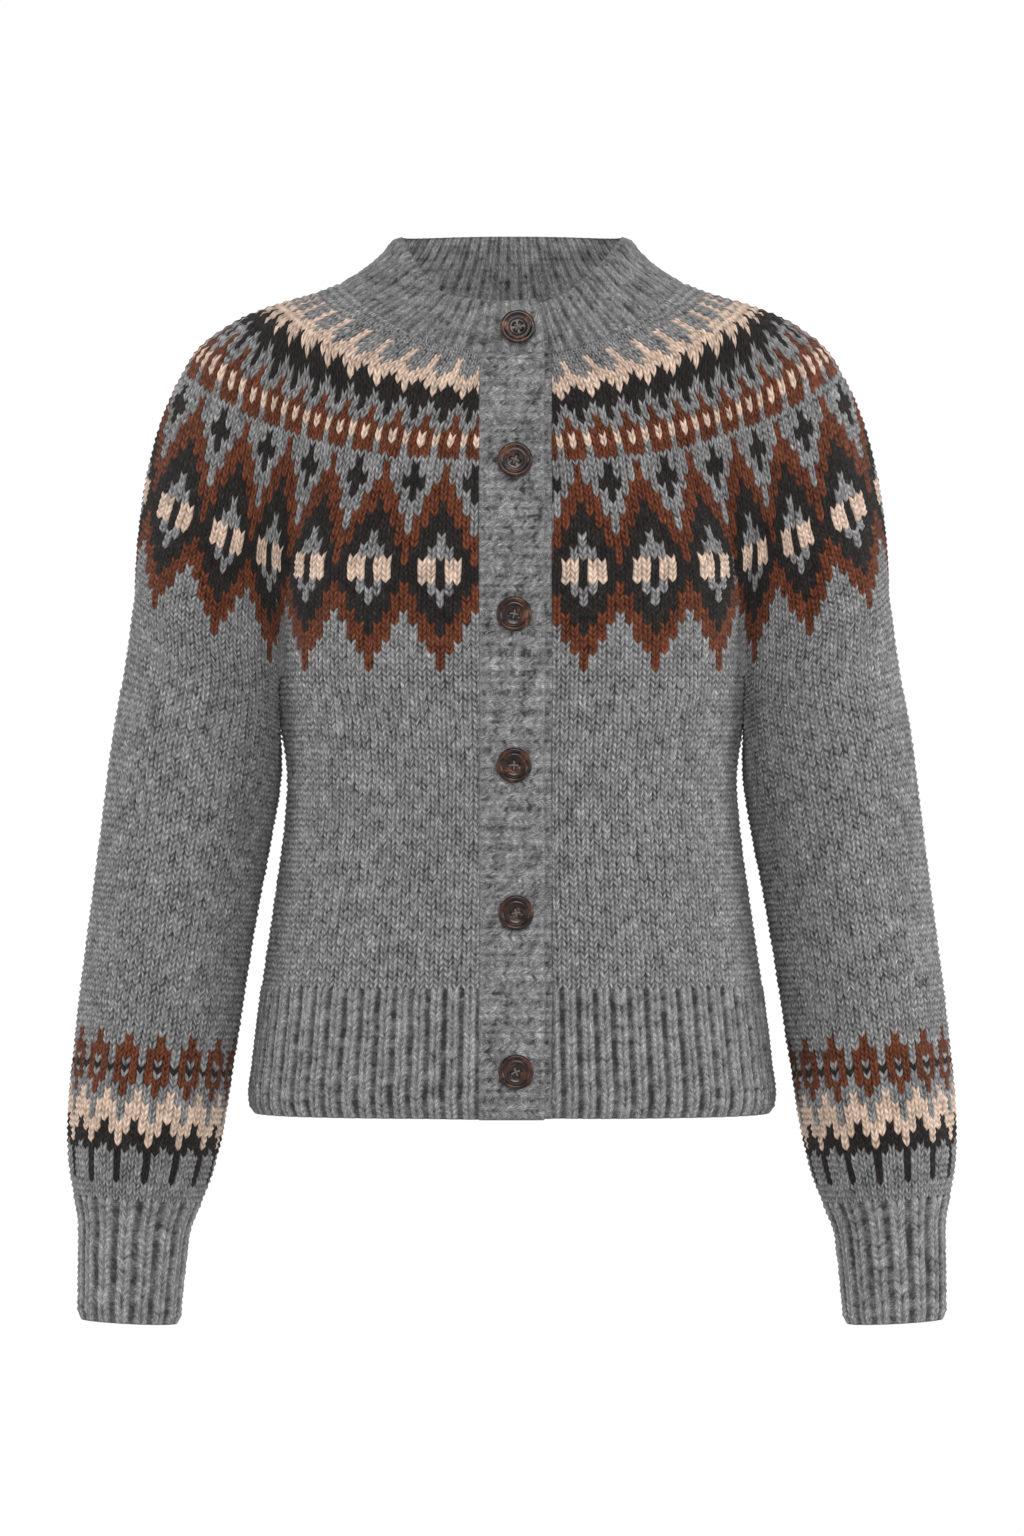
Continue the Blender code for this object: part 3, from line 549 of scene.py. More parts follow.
def purl_side(name, dark, middle, light):
    """The inside of the knitting: the same wool as rows of small bumps, 5.4 mm by 3.9 mm."""
    material = wool(name, dark, middle, light)
    tree = material.node_tree
    yarn = add_node(tree, "ShaderNodeUVMap", {}, uv_map="yarn")
    bumps = add_node(tree, "ShaderNodeMapping", {"Vector": yarn.outputs[0], "Scale": (1 / 5.4, 1 / 3.9, 1)})
    cells = add_node(tree, "ShaderNodeTexVoronoi", {"Vector": bumps.outputs[0], "Scale": 1.0,
                                                   "Randomness": 0.25}, voronoi_dimensions="2D", feature="F1")
    raised = add_node(tree, "ShaderNodeBump", {"Height": cells.outputs[0], "Strength": 0.8,
                                              "Distance": 0.002}, invert=True)
    tree.links.new(raised.outputs[0], tree.nodes["Principled BSDF"].inputs["Normal"])
    return material


# Grey fleece of white and dark fibres carded together; the colour is the fleece's own
grey_wool = wool("carded_grey_wool", "#525152", "#939293", "#d3d2d1")
# The inside: the same wool given darker colours, as painted shade
grey_inside_painted_shade = purl_side("carded_grey_wool_inside_painted_shade", "#454546", "#727272", "#a09f9f")
PLAIN_WOOL = [grey_wool, grey_inside_painted_shade]


def fronts_limits(edge_x, sheet, per_stitch=1.0):
    """Limits of a piece's columns: from a front band's edge to the side, or from side to side behind."""
    side = BODY_QUARTER / per_stitch

    def limits(level):
        if edge_x is None:
            return side, 3 * side
        edge = stitch_at_x(sheet, level, edge_x) / per_stitch
        return (edge, side) if edge_x > 0 else (-side, edge)
    return limits


rib_stitches = BODY_QUARTER / HEM_RIBS_PER_QUARTER


def hem_sheet(ribs, z):
    """Points round the hem, counted in ribs."""
    return body_sheet(np.asarray(ribs) * rib_stitches, z)


def rib_columns(first, last):
    """Places of the columns of points over a run of whole ribs."""
    ribs = np.arange(first, last)[:, None] + np.array(RIB["places"])[None, :]
    return np.append(ribs.ravel(), last)


hem_levels = np.linspace(HEM_Z, HEM_SEAM_Z, 2 * HEM_ROWS + 1)
for name, first, last, edge in (
        ("hem_rib_back", 20, 60, None),
        ("hem_rib_left", 2, 20, LEFT_EDGE_X),
        ("hem_rib_right", -20, -1, RIGHT_EDGE_X)):
    piece = knitted(name + "_knit", hem_sheet, hem_levels, rib_columns(first, last), RIB, RIB_WALL,
                    PLAIN_WOOL, fronts_limits(edge, body_sheet, rib_stitches), layer=front_layers,
                    open_foot=True, tucked=True)
    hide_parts(name)

# ---------------------------------------------------------------- Back and fronts
# Grey stocking stitch, knitted on from the rib and joined to the fronts under the arms.
# Columns of small V stitches with soft dark gaps between them.
UNDERARM_Z = -0.246
PLAIN_WALL = 0.0027
BODY_ROWS = 52
STOCKING = {
    "places": (0, 0.25, 0.5, 0.75),
    "heights": ((-1.20, -0.15, -1.05, -0.15), (-0.85, 0.85, -0.70, 0.85)),
    "slides": ((0.84, -0.04, -0.84, -0.04),) * 2,
    # painted shade, most between the wales and where stitches meet
    "painted_shades": ((1.38, 0.92, 1.30, 0.92), (1.02, -0.12, 0.82, -0.12)),
    "lean": (1, 1, -1, -1),
    "width": 5.4, "row": 3.9, "strand": 2, "shake": 0.26,
}


def stitch_columns(first, last):
    """Places of the columns of points for wales centred on whole stitches, from gap to gap."""
    return np.linspace(first, last, (last - first) * 4 + 1) - 0.5


body_levels = np.linspace(HEM_SEAM_Z, UNDERARM_Z, 2 * BODY_ROWS + 1)
for name, first, last, edge in (
        ("back", 36, 110, None),
        ("left_front", 3, 37, LEFT_EDGE_X),
        ("right_front", -36, -2, RIGHT_EDGE_X)):
    piece = knitted(name + "_knit", body_sheet, body_levels, stitch_columns(first, last), STOCKING,
                    PLAIN_WALL, PLAIN_WOOL, fronts_limits(edge, body_sheet), layer=front_layers)
    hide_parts(name)

# ---------------------------------------------------------------- Sleeves
# Two tubes of grey stocking stitch, worked round from the cuff up, with a small pattern in
# black, brown and beige above the cuff. The dark wools are dyed, so they show fewer fibres.
SLEEVE_ROWS = 92
SLEEVE_OUTER = 54
SLEEVE_ROUND = 60
SPLIT_STITCH = 29
SLEEVE_TOP_DROP = 0.218
SLEEVE_TOP_FADE = 0.10
CUFF_SEAM_DROP = 0.576
ARM_CENTRE_X = 0.190
ARM_OUTER_X = 0.2385
ARM_DEPTH = 0.064
ARM_OUTER_Z = -0.193
ARM_SEAM_RISE = 1.4
ARM_POWER = 2.6
ARM_GAP = 0.0011
ARM_GAP_GROWTH = 0.008
SIDE_CONTACT_DROP = 0.36
SLEEVE = table("drop x y half_width half_depth tilt", (
    (0.218, 0.1922, 0.0000, 0.0560, 0.0640, 31.0),
    (0.256, 0.1950, 0.0000, 0.0545, 0.0620, 22.0),
    (0.298, 0.2000, -0.0010, 0.0550, 0.0600, 14.0),
    (0.340, 0.2060, -0.0020, 0.0538, 0.0575, 9.0),
    (0.387, 0.2133, -0.0040, 0.0524, 0.0550, 5.5),
    (0.476, 0.2257, -0.0080, 0.0508, 0.0510, 5.0),
    (0.540, 0.2335, -0.0100, 0.0478, 0.0475, 4.5),
    (0.560, 0.2355, -0.0105, 0.0446, 0.0435, 4.0),
    (0.576, 0.2372, -0.0110, 0.0400, 0.0392, 4.0),
    (0.592, 0.2390, -0.0115, 0.0352, 0.0345, 3.8),
    (0.610, 0.2403, -0.0120, 0.0338, 0.0322, 3.5),
    (0.654, 0.2426, -0.0130, 0.0318, 0.0290, 3.0),
))


def body_side_x(y, z):
    """Half-width of the body at a depth and height."""
    half_width = np.interp(-z, BODY["drop"], BODY["half_width"])
    front = np.interp(-z, BODY["drop"], BODY["front"])
    back = np.interp(-z, BODY["drop"], BODY["back"])
    depth = np.where(y < 0, front, back)
    inside = np.clip(1 - (np.abs(y) / depth) ** BODY_POWER, 0, 1)
    return half_width * inside ** (1 / BODY_POWER)


def sleeve_seam(share):
    """Seam at +X from the yoke's front fold, round the outer arm, to the back fold."""
    fold = body_sheet([SPLIT_STITCH], UNDERARM_Z)[0]
    fold_depth = abs(fold[1]) / ARM_DEPTH
    inner = (ARM_CENTRE_X - fold[0]) / (1 - fold_depth ** ARM_POWER) ** (1 / ARM_POWER)
    outer = ARM_OUTER_X - ARM_CENTRE_X
    turn = np.linspace(math.asin(fold_depth ** (ARM_POWER / 2)), math.pi, 361)
    width = np.where(turn < math.pi / 2, -inner, outer)
    x = ARM_CENTRE_X + width * np.abs(np.cos(turn)) ** (2 / ARM_POWER)
    y = -ARM_DEPTH * np.abs(np.sin(turn)) ** (2 / ARM_POWER)
    length = np.concatenate(([0], np.cumsum(np.hypot(np.diff(x), np.diff(y)))))
    length /= length[-1]
    way = 1 - np.abs(2 * share - 1)
    seam_x = np.interp(way, length, x)
    seam_y = np.interp(way, length, y) * np.where(share <= 0.5, 1, -1)
    z = ARM_OUTER_Z + (UNDERARM_Z - ARM_OUTER_Z) * (1 - way) ** ARM_SEAM_RISE
    return np.stack((seam_x, seam_y, z), axis=-1)


def sleeve_round(stitches, drop):
    """Oval section of a sleeve at +X; stitch 0 is at the front fold."""
    angle = 2 * math.pi * (stitches - (SLEEVE_OUTER + SLEEVE_ROUND) / 2) / SLEEVE_ROUND
    tilt = math.radians(along(SLEEVE, "drop", "tilt", drop))
    reach = along(SLEEVE, "drop", "half_width", drop) * np.cos(angle)
    x = along(SLEEVE, "drop", "x", drop) - reach * math.cos(tilt)
    y = along(SLEEVE, "drop", "y", drop) - along(SLEEVE, "drop", "half_depth", drop) * np.sin(angle)
    return np.stack((x, y, -drop - reach * math.sin(tilt)), axis=-1)


def sleeve_top(stitches):
    """Upper edge of a sleeve at +X: the yoke's seam, then along the side of the body."""
    outer = sleeve_seam(np.clip(stitches / SLEEVE_OUTER, 0, 1))
    under = (SLEEVE_ROUND - stitches) / (SLEEVE_ROUND - SLEEVE_OUTER)
    inner = body_sheet(SPLIT_STITCH + under * 2 * (BODY_QUARTER - SPLIT_STITCH), UNDERARM_Z)
    return np.where((stitches <= SLEEVE_OUTER)[:, None], outer, inner)


def sleeve_sheet(stitches, drop, side):
    """Points round a sleeve; side is 1 for the wearer's left and -1 for the right."""
    stitches = np.asarray(stitches, dtype=float) % SLEEVE_ROUND
    points = sleeve_round(stitches, drop)
    fade = max(1 - (drop - SLEEVE_TOP_DROP) / SLEEVE_TOP_FADE, 0)
    if fade > 0:
        points += (sleeve_top(stitches) - sleeve_round(stitches, SLEEVE_TOP_DROP)) * fade * fade
    if drop < SIDE_CONTACT_DROP:
        gap = ARM_GAP + ARM_GAP_GROWTH * (drop - SLEEVE_TOP_DROP)
        points[:, 0] = np.maximum(points[:, 0], body_side_x(points[:, 1], points[:, 2]) + gap)
    points[:, 0] *= side
    return points


# At the yoke's seam the worn stitches stray round the arm: stitches from the front fold, and how far
SEAM_STITCHES = (0, 3, 11, 19, 27, 35)
SEAM_ASIDE = (0, -1.0, -1.9, -2.1, -1.3, 0)
SEAM_ASIDE_FADE = 0.09


def worn_sleeve(stitches, drop, side):
    """Where stitches of a sleeve lie when worn."""
    share = 1 - smooth_step(SLEEVE_TOP_DROP, SLEEVE_TOP_DROP + SEAM_ASIDE_FADE, drop)
    aside = np.interp(stitches % SLEEVE_ROUND, SEAM_STITCHES, SEAM_ASIDE)
    return sleeve_sheet(stitches + share * aside, drop, side)


black_wool = wool("dyed_black_wool", "#161413", "#262322", "#4b4644", sheen=0.06, painted_shade_strength=0.5)
brown_wool = wool("dyed_rust_brown_wool", "#422216", "#733d27", "#9c6042", sheen=0.08)
beige_wool = wool("undyed_beige_wool", "#c9a78e", "#f0d1bb", "#fdebdc", sheen=0.1, painted_shade_strength=0.55)
GREY, BLACK, BROWN, BEIGE = range(4)
PATTERN_WOOL = [grey_wool, black_wool, brown_wool, beige_wool, grey_inside_painted_shade]
YARN_LETTERS = {"g": GREY, "b": BLACK, "n": BROWN, "c": BEIGE}


def chart(columns, height):
    """A knitting chart from run lengths such as 3b, counted up each column of half a repeat."""
    rows = []
    for column in columns:
        run = [YARN_LETTERS[part[-1]] for part in column.split() for _ in range(int(part[:-1]))]
        rows.append(run + [GREY] * (height - len(run)))
    return np.array(rows)


# Half of a repeat of four stitches, counted up from the plain rows over the cuff
CUFF_CHART = chart(("6b 4c 4g 3n 1g 1b 1g 4n", "5g 3b 5c 3g 6n", "6g 4b 5c 3g 1b"), SLEEVE_ROWS)
CUFF_REPEAT = 4
CUFF_PLAIN_ROWS = 3


def sleeve_colour(rows, columns):
    """Yarn of each stitch of a sleeve; the repeat is the same both ways from its middle stitch."""
    step = (columns + 1) % CUFF_REPEAT
    row = np.clip(rows - CUFF_PLAIN_ROWS, 0, SLEEVE_ROWS - 1)
    return CUFF_CHART[np.minimum(step, CUFF_REPEAT - step), row] * (rows >= CUFF_PLAIN_ROWS)


sleeve_levels = np.linspace(CUFF_SEAM_DROP, SLEEVE_TOP_DROP, 2 * SLEEVE_ROWS + 1)
for name, side in (("left", 1), ("right", -1)):
    def sheet(stitches, drop, side=side):
        return worn_sleeve(stitches, drop, side)
    piece = knitted(name + "_sleeve_knit", sheet, sleeve_levels, stitch_columns(0, SLEEVE_ROUND), STOCKING,
                    PLAIN_WALL, PATTERN_WOOL, turned=side, colours=sleeve_colour, closed=True)
    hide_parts(name + "_sleeve")

# ---------------------------------------------------------------- Cuffs
# Knit one, purl one rib like the hem's, on fewer stitches, so the sleeve gathers into it.
CUFF_END_DROP = 0.654
CUFF_RIBS = 16
CUFF_ROWS = 20
cuff_levels = np.linspace(CUFF_END_DROP, CUFF_SEAM_DROP, 2 * CUFF_ROWS + 1)
for name, side in (("left", 1), ("right", -1)):
    def sheet(ribs, drop, side=side):
        return sleeve_sheet(np.asarray(ribs) * SLEEVE_ROUND / CUFF_RIBS, drop, side)
    piece = knitted(name + "_cuff_knit", sheet, cuff_levels, rib_columns(0, CUFF_RIBS), RIB, RIB_WALL,
                    PLAIN_WOOL, turned=side, open_foot=True, tucked=True, closed=True)
    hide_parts(name + "_cuff")

# ---------------------------------------------------------------- Yoke
# One round piece knitted on from the body and both sleeves, with stranded bands of black,
# brown and beige figures on grey. It narrows to the neck and is cut off by the front bands.
YOKE_QUARTER = 56
YOKE_TOP_ROW = 55
YOKE_RING_ROW = 33
YOKE_BOTTOM_ROW = -1
YOKE_POWER = 2.1
RING_DIP = 1.15
RING_PULL = 0.75
YOKE = table("row half_width front back z_front z_shoulder z_back swing", (
    (33, 0.2108, 0.1000, 0.0970, -0.1175, -0.0570, -0.1040, -12),
    (38, 0.1982, 0.0975, 0.0935, -0.0997, -0.0370, -0.0830, -9),
    (42, 0.1783, 0.0945, 0.0890, -0.0850, -0.0220, -0.0655, -5),
    (47, 0.1516, 0.0895, 0.0820, -0.0665, -0.0105, -0.0440, 4),
    (52, 0.1235, 0.0815, 0.0715, -0.0515, -0.0022, -0.0200, 8),
    (55, 0.1090, 0.0760, 0.0640, -0.0445, 0.0035, -0.0080, 9),
))


def ring(sections, key, at, stitches):
    """Ring of the yoke or neckband, from a row of its table."""
    stitches = wrapped(stitches, YOKE_QUARTER)
    count = np.abs(stitches)
    in_front = count <= YOKE_QUARTER
    share = np.where(in_front, count, 2 * YOKE_QUARTER - count) / YOKE_QUARTER
    swing = np.radians(along(sections, key, "swing", at))
    angle = math.pi / 2 * share + swing * np.sin(math.pi * share ** 2)
    side = np.clip(np.sin(angle), 0, 1)
    front = along(sections, key, "front", at)
    back = along(sections, key, "back", at)
    depth = np.where(in_front, -front, back) * (1 - side ** YOKE_POWER) ** (1 / YOKE_POWER)
    z_shoulder = along(sections, key, "z_shoulder", at)
    z_centre = np.where(in_front, along(sections, key, "z_front", at), along(sections, key, "z_back", at))
    z = z_centre + (z_shoulder - z_centre) * side ** (2 * RING_DIP)
    x = np.sign(stitches) * along(sections, key, "half_width", at) * side
    return np.stack((x, depth, z), axis=-1)


def split_ring(stitches):
    """Lower edge of the yoke: body front, sleeve, body back, sleeve."""
    stitches = wrapped(stitches, YOKE_QUARTER)
    count = np.abs(stitches)
    beyond = 2 * (YOKE_QUARTER - BODY_QUARTER)
    body_count = np.where(count > YOKE_QUARTER, count - beyond, count)
    body_points = body_sheet(np.sign(stitches) * body_count, UNDERARM_Z)
    arm_points = sleeve_seam(np.clip((count - SPLIT_STITCH) / SLEEVE_OUTER, 0, 1))
    arm_points[:, 0] *= np.sign(stitches)
    on_arm = (count > SPLIT_STITCH) & (count < SPLIT_STITCH + SLEEVE_OUTER)
    return np.where(on_arm[:, None], arm_points, body_points)


def yoke_sheet(stitches, row):
    """Points round the yoke: rings near the neck, then a smooth way down to the split ring."""
    rings = ring(YOKE, "row", np.maximum(row, YOKE_RING_ROW), stitches)
    if np.min(row) >= YOKE_RING_ROW:
        return rings
    rows_below = YOKE_RING_ROW - YOKE_BOTTOM_ROW
    top = ring(YOKE, "row", YOKE_RING_ROW, stitches)
    above = ring(YOKE, "row", YOKE_RING_ROW + 1, stitches)
    bottom = split_ring(stitches)
    leave = (top - above) * rows_below * RING_PULL
    arrive = (bottom - top) * np.array((0, 0, 1))
    share = (YOKE_RING_ROW - np.broadcast_to(row, np.shape(stitches))[:, None]) / rows_below
    return np.where(share > 0, hermite(top, leave, bottom, arrive, np.maximum(share, 0)), rings)


# Half of a repeat of eight stitches, from the lowest point of the pattern up
YOKE_CHART = chart((
    "6n 5b 3g 5b 4g 5b 6n 1g 2n 2c 3n 2g 1b 3c",
    "3g 5n 5b 2g 4c 2g 5b 5n 4g 5n 3g 3b 3c",
    "5g 5n 5b 4c 5b 5n 8g 2c 2g 6b 5c",
    "8g 5n 8b 5n 4g 2b 3g 5n 3g 3b 3c",
    "10g 5n 3b 5n 5g 6b 1g 2n 2c 3n 2g 1b 3c",
), YOKE_TOP_ROW + 1)
YOKE_REPEAT = 8                  # stitches
YOKE_FIRST = 3                   # stitches from the centre front round to it again, between the bands
YOKE_LAST = 221

# How the worn yoke's stitches stray on its form: stitches further from the centre front, and
# rows further down, for rows of knitting against stitches counted from the centre front
STRAY_STITCHES = (0, 4, 8, 16, 24, 29, 32, 40, 48, 56, 64)
STRAY_ROWS = (-1, 5, 18, 31, 42, 47, 52, 55)
STRAY_ASIDE = (
    (0, 0, 0.0, 0.0, 0.0, 0.0, -1.0, -1.9, -2.1, -1.3, 0),
    (0, 0, 0.0, 0.1, 0.3, -0.2, -0.8, -2.0, -2.2, -1.2, 0),
    (0, 0, -0.2, 0.5, 1.8, 1.3, 0.8, -1.8, -2.4, -0.6, 0),
    (0, 0, -0.6, -0.8, -0.1, 0.1, 0.3, -0.3, -0.8, -0.6, 0),
    (0, 0, -1.1, -1.2, -1.2, -1.2, -1.1, -0.8, 0.4, 0.2, 0),
    (0, 0, -1.2, -0.5, 0.1, 0.6, 0.9, 1.2, 0.6, 0.0, 0),
    (0, 0, -1.0, -1.0, -0.5, 0.1, 0.4, 0.4, 0.0, 0.0, 0),
    (0, 0, -0.6, -0.6, -0.3, 0.0, 0.2, 0.2, 0.0, 0.0, 0),
)
STRAY_DOWN = (
    (0, 0, 0.0, 0.0, 0.0, 0.0, 0.0, 0.0, 0.0, 0.0, 0),
    (0.4, 0.4, 0.4, 0.4, 0.2, 0.2, 0.2, 0.9, 0.9, 0.7, 0.3),
    (1.1, 1.1, 1.1, 1.4, 1.9, 2.2, 2.4, 2.8, 2.4, 1.8, 1.0),
    (0.6, 0.6, 0.6, 1.2, 1.6, 1.4, 1.3, 1.9, 1.8, 0.8, 0.4),
    (0, 0, 0.1, 0.5, 1.1, 1.5, 1.8, 1.7, 0.3, 0.0, 0),
    (0, 0, 0.0, 0.0, 0.5, 0.5, 0.5, 0.1, 0.0, 0.0, 0),
    (-0.5, -0.5, -0.5, -0.8, -0.2, 0.2, 0.4, 0.3, 0.0, 0.0, 0),
    (0, 0, 0, 0, 0, 0, 0, 0, 0, 0, 0),
)


def stray(amounts, row, stitches):
    """A stray table's value at a row for every stitch."""
    below = min(max(int(np.searchsorted(STRAY_ROWS, row, side="right")) - 1, 0), len(STRAY_ROWS) - 2)
    share = (row - STRAY_ROWS[below]) / (STRAY_ROWS[below + 1] - STRAY_ROWS[below])
    line = np.array(amounts[below]) * (1 - share) + np.array(amounts[below + 1]) * share
    return np.interp(np.abs(stitches), STRAY_STITCHES, line)


form_rows = np.linspace(YOKE_BOTTOM_ROW, YOKE_RING_ROW, 171)
wales = np.arange(0, 2 * YOKE_QUARTER + 1)
spots = np.array([yoke_sheet(wales, row) for row in form_rows])
wale_length = np.concatenate((np.zeros((1, len(wales))),
                              np.cumsum(np.linalg.norm(np.diff(spots, axis=0), axis=-1), axis=0)))
wale_length /= wale_length[-1]


def worn_row(row, stitches):
    """Row of the yoke's form for a row of knitting, evened so that rows are alike in height."""
    share = (row - YOKE_BOTTOM_ROW) / (YOKE_RING_ROW - YOKE_BOTTOM_ROW)
    low = np.clip(np.floor(np.abs(stitches)), 0, 2 * YOKE_QUARTER - 1).astype(int)
    part = np.abs(stitches) - low
    even = [[np.interp(at, wale_length[:, wale], form_rows) for at, wale in zip(share, low + side)]
            for side in (0, 1)]
    return np.where(share < 1, even[0] * (1 - part) + even[1] * part, row)


def worn_yoke(stitches, row):
    """Where stitches of the yoke lie when worn."""
    stitches = wrapped(stitches, YOKE_QUARTER)
    aside = stray(STRAY_ASIDE, row, stitches) * np.sign(stitches)
    down = stray(STRAY_DOWN, row, stitches)
    row = np.clip(row - down, YOKE_BOTTOM_ROW, YOKE_TOP_ROW)
    return yoke_sheet(stitches + aside, worn_row(row, stitches + aside))


def yoke_colour(rows, columns):
    """Yarn of each stitch of the yoke, the same both ways from the middle of a repeat."""
    step = (columns + YOKE_FIRST) % YOKE_REPEAT
    row = np.clip(rows + YOKE_BOTTOM_ROW, 0, YOKE_TOP_ROW)
    return YOKE_CHART[np.minimum(step, YOKE_REPEAT - step), row] * (rows > 0)


def yoke_limits(row):
    """The front bands' edges, as stitches counted round from the left one to the right one."""
    low = stitch_at_x(worn_yoke, row, LEFT_EDGE_X)
    high = stitch_at_x(worn_yoke, row, RIGHT_EDGE_X)
    return low, 4 * YOKE_QUARTER + high


yoke_levels = np.linspace(YOKE_BOTTOM_ROW, YOKE_TOP_ROW, 2 * (YOKE_TOP_ROW - YOKE_BOTTOM_ROW) + 1)
yoke = knitted("yoke_knit", worn_yoke, yoke_levels, stitch_columns(YOKE_FIRST, YOKE_LAST), STOCKING,
               PLAIN_WALL, PATTERN_WOOL, yoke_limits, layer=front_layers, colours=yoke_colour, tucked=True)
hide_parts("yoke_right_front", "yoke_left_front", "yoke_back", "yoke_right_arm", "yoke_left_arm")

# ---------------------------------------------------------------- Neckband
# A doubled band of knit one, purl one rib, sewn down inside, so both its faces are ribbed.
# It runs from under the right front, round the back, and over it to the rounded upper end.
NECK_WALL = 0.0034               # between the feet of the ribs of both faces
NECK_LIFT = 0.0026
NECK_FACE_SHARE = 0.7            # of the outer ribs' height on the inner face
NECK_ROLL = 1.3                  # how far the fold along the top rounds in, in millimetres
NECK_ROLL_POINTS = 4             # over how many rows of points
NECK_ROWS = 12
NECK_RIB_STITCHES = 3
NECK_LOWER_X = (-0.015, -0.004, 0.008)
NECK_UPPER_X = (-0.008, 0.006)
NECK_END_X = 0.0225
NECK_END_ROUNDING = 0.008
NECK_DROOP = 0.0085
NECK_DROOP_AT = 25
NECK_DROOP_WIDTH = 12
NECK = table("height half_width front back z_front z_shoulder z_back swing", (
    (0.00, 0.1090, 0.0760, 0.0640, -0.0445, 0.0035, -0.0080, 9),
    (0.35, 0.0940, 0.0728, 0.0630, -0.0320, 0.0125, 0.0090, 8),
    (0.70, 0.0808, 0.0695, 0.0618, -0.0205, 0.0240, 0.0250, 6),
    (0.92, 0.0738, 0.0668, 0.0607, -0.0132, 0.0325, 0.0355, 5),
    (1.00, 0.0706, 0.0652, 0.0595, -0.0110, 0.0345, 0.0380, 5),
))


def neck_sheet(stitches, height):
    """Points round the neckband; its upper edge droops on the wearer's right, where it is worn open."""
    points = ring(NECK, "height", height, stitches)
    droop = NECK_DROOP * np.exp(-((wrapped(stitches, YOKE_QUARTER) + NECK_DROOP_AT) / NECK_DROOP_WIDTH) ** 2)
    points[:, 2] -= droop * height
    return points


def neck_grooves(height):
    """Stitches of the grooves between the neckband's ribs, from its lower end to its upper one."""
    turn = 4 * YOKE_QUARTER
    end_x = NECK_END_X - NECK_END_ROUNDING * height ** 3
    lower = stitch_at_x(neck_sheet, height, NECK_LOWER_X)
    upper = turn + stitch_at_x(neck_sheet, height, (*NECK_UPPER_X, end_x))
    return np.concatenate((lower, range(8, turn - 7, NECK_RIB_STITCHES), upper))


neck_heights = np.linspace(0, 1, 2 * NECK_ROWS + 1)
neck_at = []
for height in neck_heights:
    grooves = neck_grooves(height)
    ribs = grooves[:-1, None] + np.diff(grooves)[:, None] * np.array(RIB["places"])[None, :]
    neck_at.append(np.append(ribs.ravel(), grooves[-1]))
neck_at = np.array(neck_at)
points = np.array([neck_sheet(at, height) for at, height in zip(neck_at, neck_heights)])
normals = one_long(np.cross(np.gradient(points, axis=1), np.gradient(points, axis=0)))
points = layered(points, normals, np.where(neck_at > 2 * YOKE_QUARTER, NECK_LIFT, -NECK_LIFT))
shape = points.shape[:2]
slides, heights, painted_shades = plan(RIB, shape, False, True)
heights = heights * 0.55 + uneven(shape, (2, 4), 0.18) + uneven(shape, (1, 1), 0.14)
# painted shade between the ribs, softer than on the other rib pieces
painted_shades = painted_shades * 0.58 + 0.38 + uneven(shape, (2, 4), 0.22) + uneven(shape, (1, 1), 0.12)
roll = 1 - smooth_step(0, 1, np.arange(shape[0])[::-1, None] / NECK_ROLL_POINTS)
heights = heights - NECK_ROLL * roll
heights[0] = -0.9                # its lower edge is sewn down flat on the yoke
heights[1] -= 0.25
slides[0] -= 0.8
thickness = NECK_WALL + (heights * NECK_FACE_SHARE - NECK_ROLL * roll) / 1000
outer = slid(points, slides) + lifted(normals, heights)
inner = points - normals * thickness[..., None]
outer_mesh = grid_mesh(outer, yarn_layout(RIB, painted_shades, plain_colour))
# its inner face: the painted shade set lower, with a little more contrast
inner_mesh = grid_mesh(inner, yarn_layout(RIB, painted_shades * 1.15 - 0.25, plain_colour))
neckband = shell("neckband_knit", outer_mesh, inner_mesh, PLAIN_WOOL)
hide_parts("neckband")

# ---------------------------------------------------------------- Front bands
# Two straight strips of rib knitted sideways and sewn on from hem to neck, so their ribs run
# across. The right one lies over the left one, which shows as a thin edge beside it.
BAND_WALL = 0.0028
BAND_LIFT = 0.0022
UPPER_BAND = (-0.0207, 0.0202)
LOWER_BAND = (-0.0178, 0.0255)
BAND_RIBS = 40
BAND_ROWS = 12
FELT_HEIGHT = 0.35               # washed wool fills the grooves, in millimetres
RIGHT_EDGE_SINK = ((0.9,), (0.2,))       # how far a band's two outermost points lie in, in millimetres
LEFT_EDGE_SINK = ((0.3,), (0.9,))
UNDER_HEIGHT = 0.15              # the most that the lower band's stitches rise, in millimetres
UNDER_MARGIN = 0.0005            # the strip along its left edge that may rise more
# How the left edge of a band waves, in millimetres, at points up the band
EDGE_SWAY_AT = np.linspace(0, 8 * BAND_RIBS, 25)
EDGE_SWAY = (0.0, 0.5, -0.3, 0.4, 0.9, 0.1, -0.5, 0.2, 0.8, 0.4, -0.2, -0.7, 0.1,
             0.6, 0.9, 0.3, -0.4, -0.8, -0.1, 0.5, 0.2, -0.5, -0.1, 0.4, 0.0)
BAND_RIB = dict(RIB, width=12.0, row=3.6,
                heights=((-0.55, -0.40, -0.10, 0.25, -0.35, 0.25, -0.10, -0.40),
                         (-0.25, -0.20, 0.15, 0.50, 0.10, 0.50, 0.15, -0.20)),
                # painted shade, most in the grooves
                painted_shades=((1.05, 0.95, 0.75, 0.50, 1.05, 0.50, 0.75, 0.95),
                         (0.75, 0.75, 0.45, 0.20, 0.75, 0.20, 0.45, 0.75)))


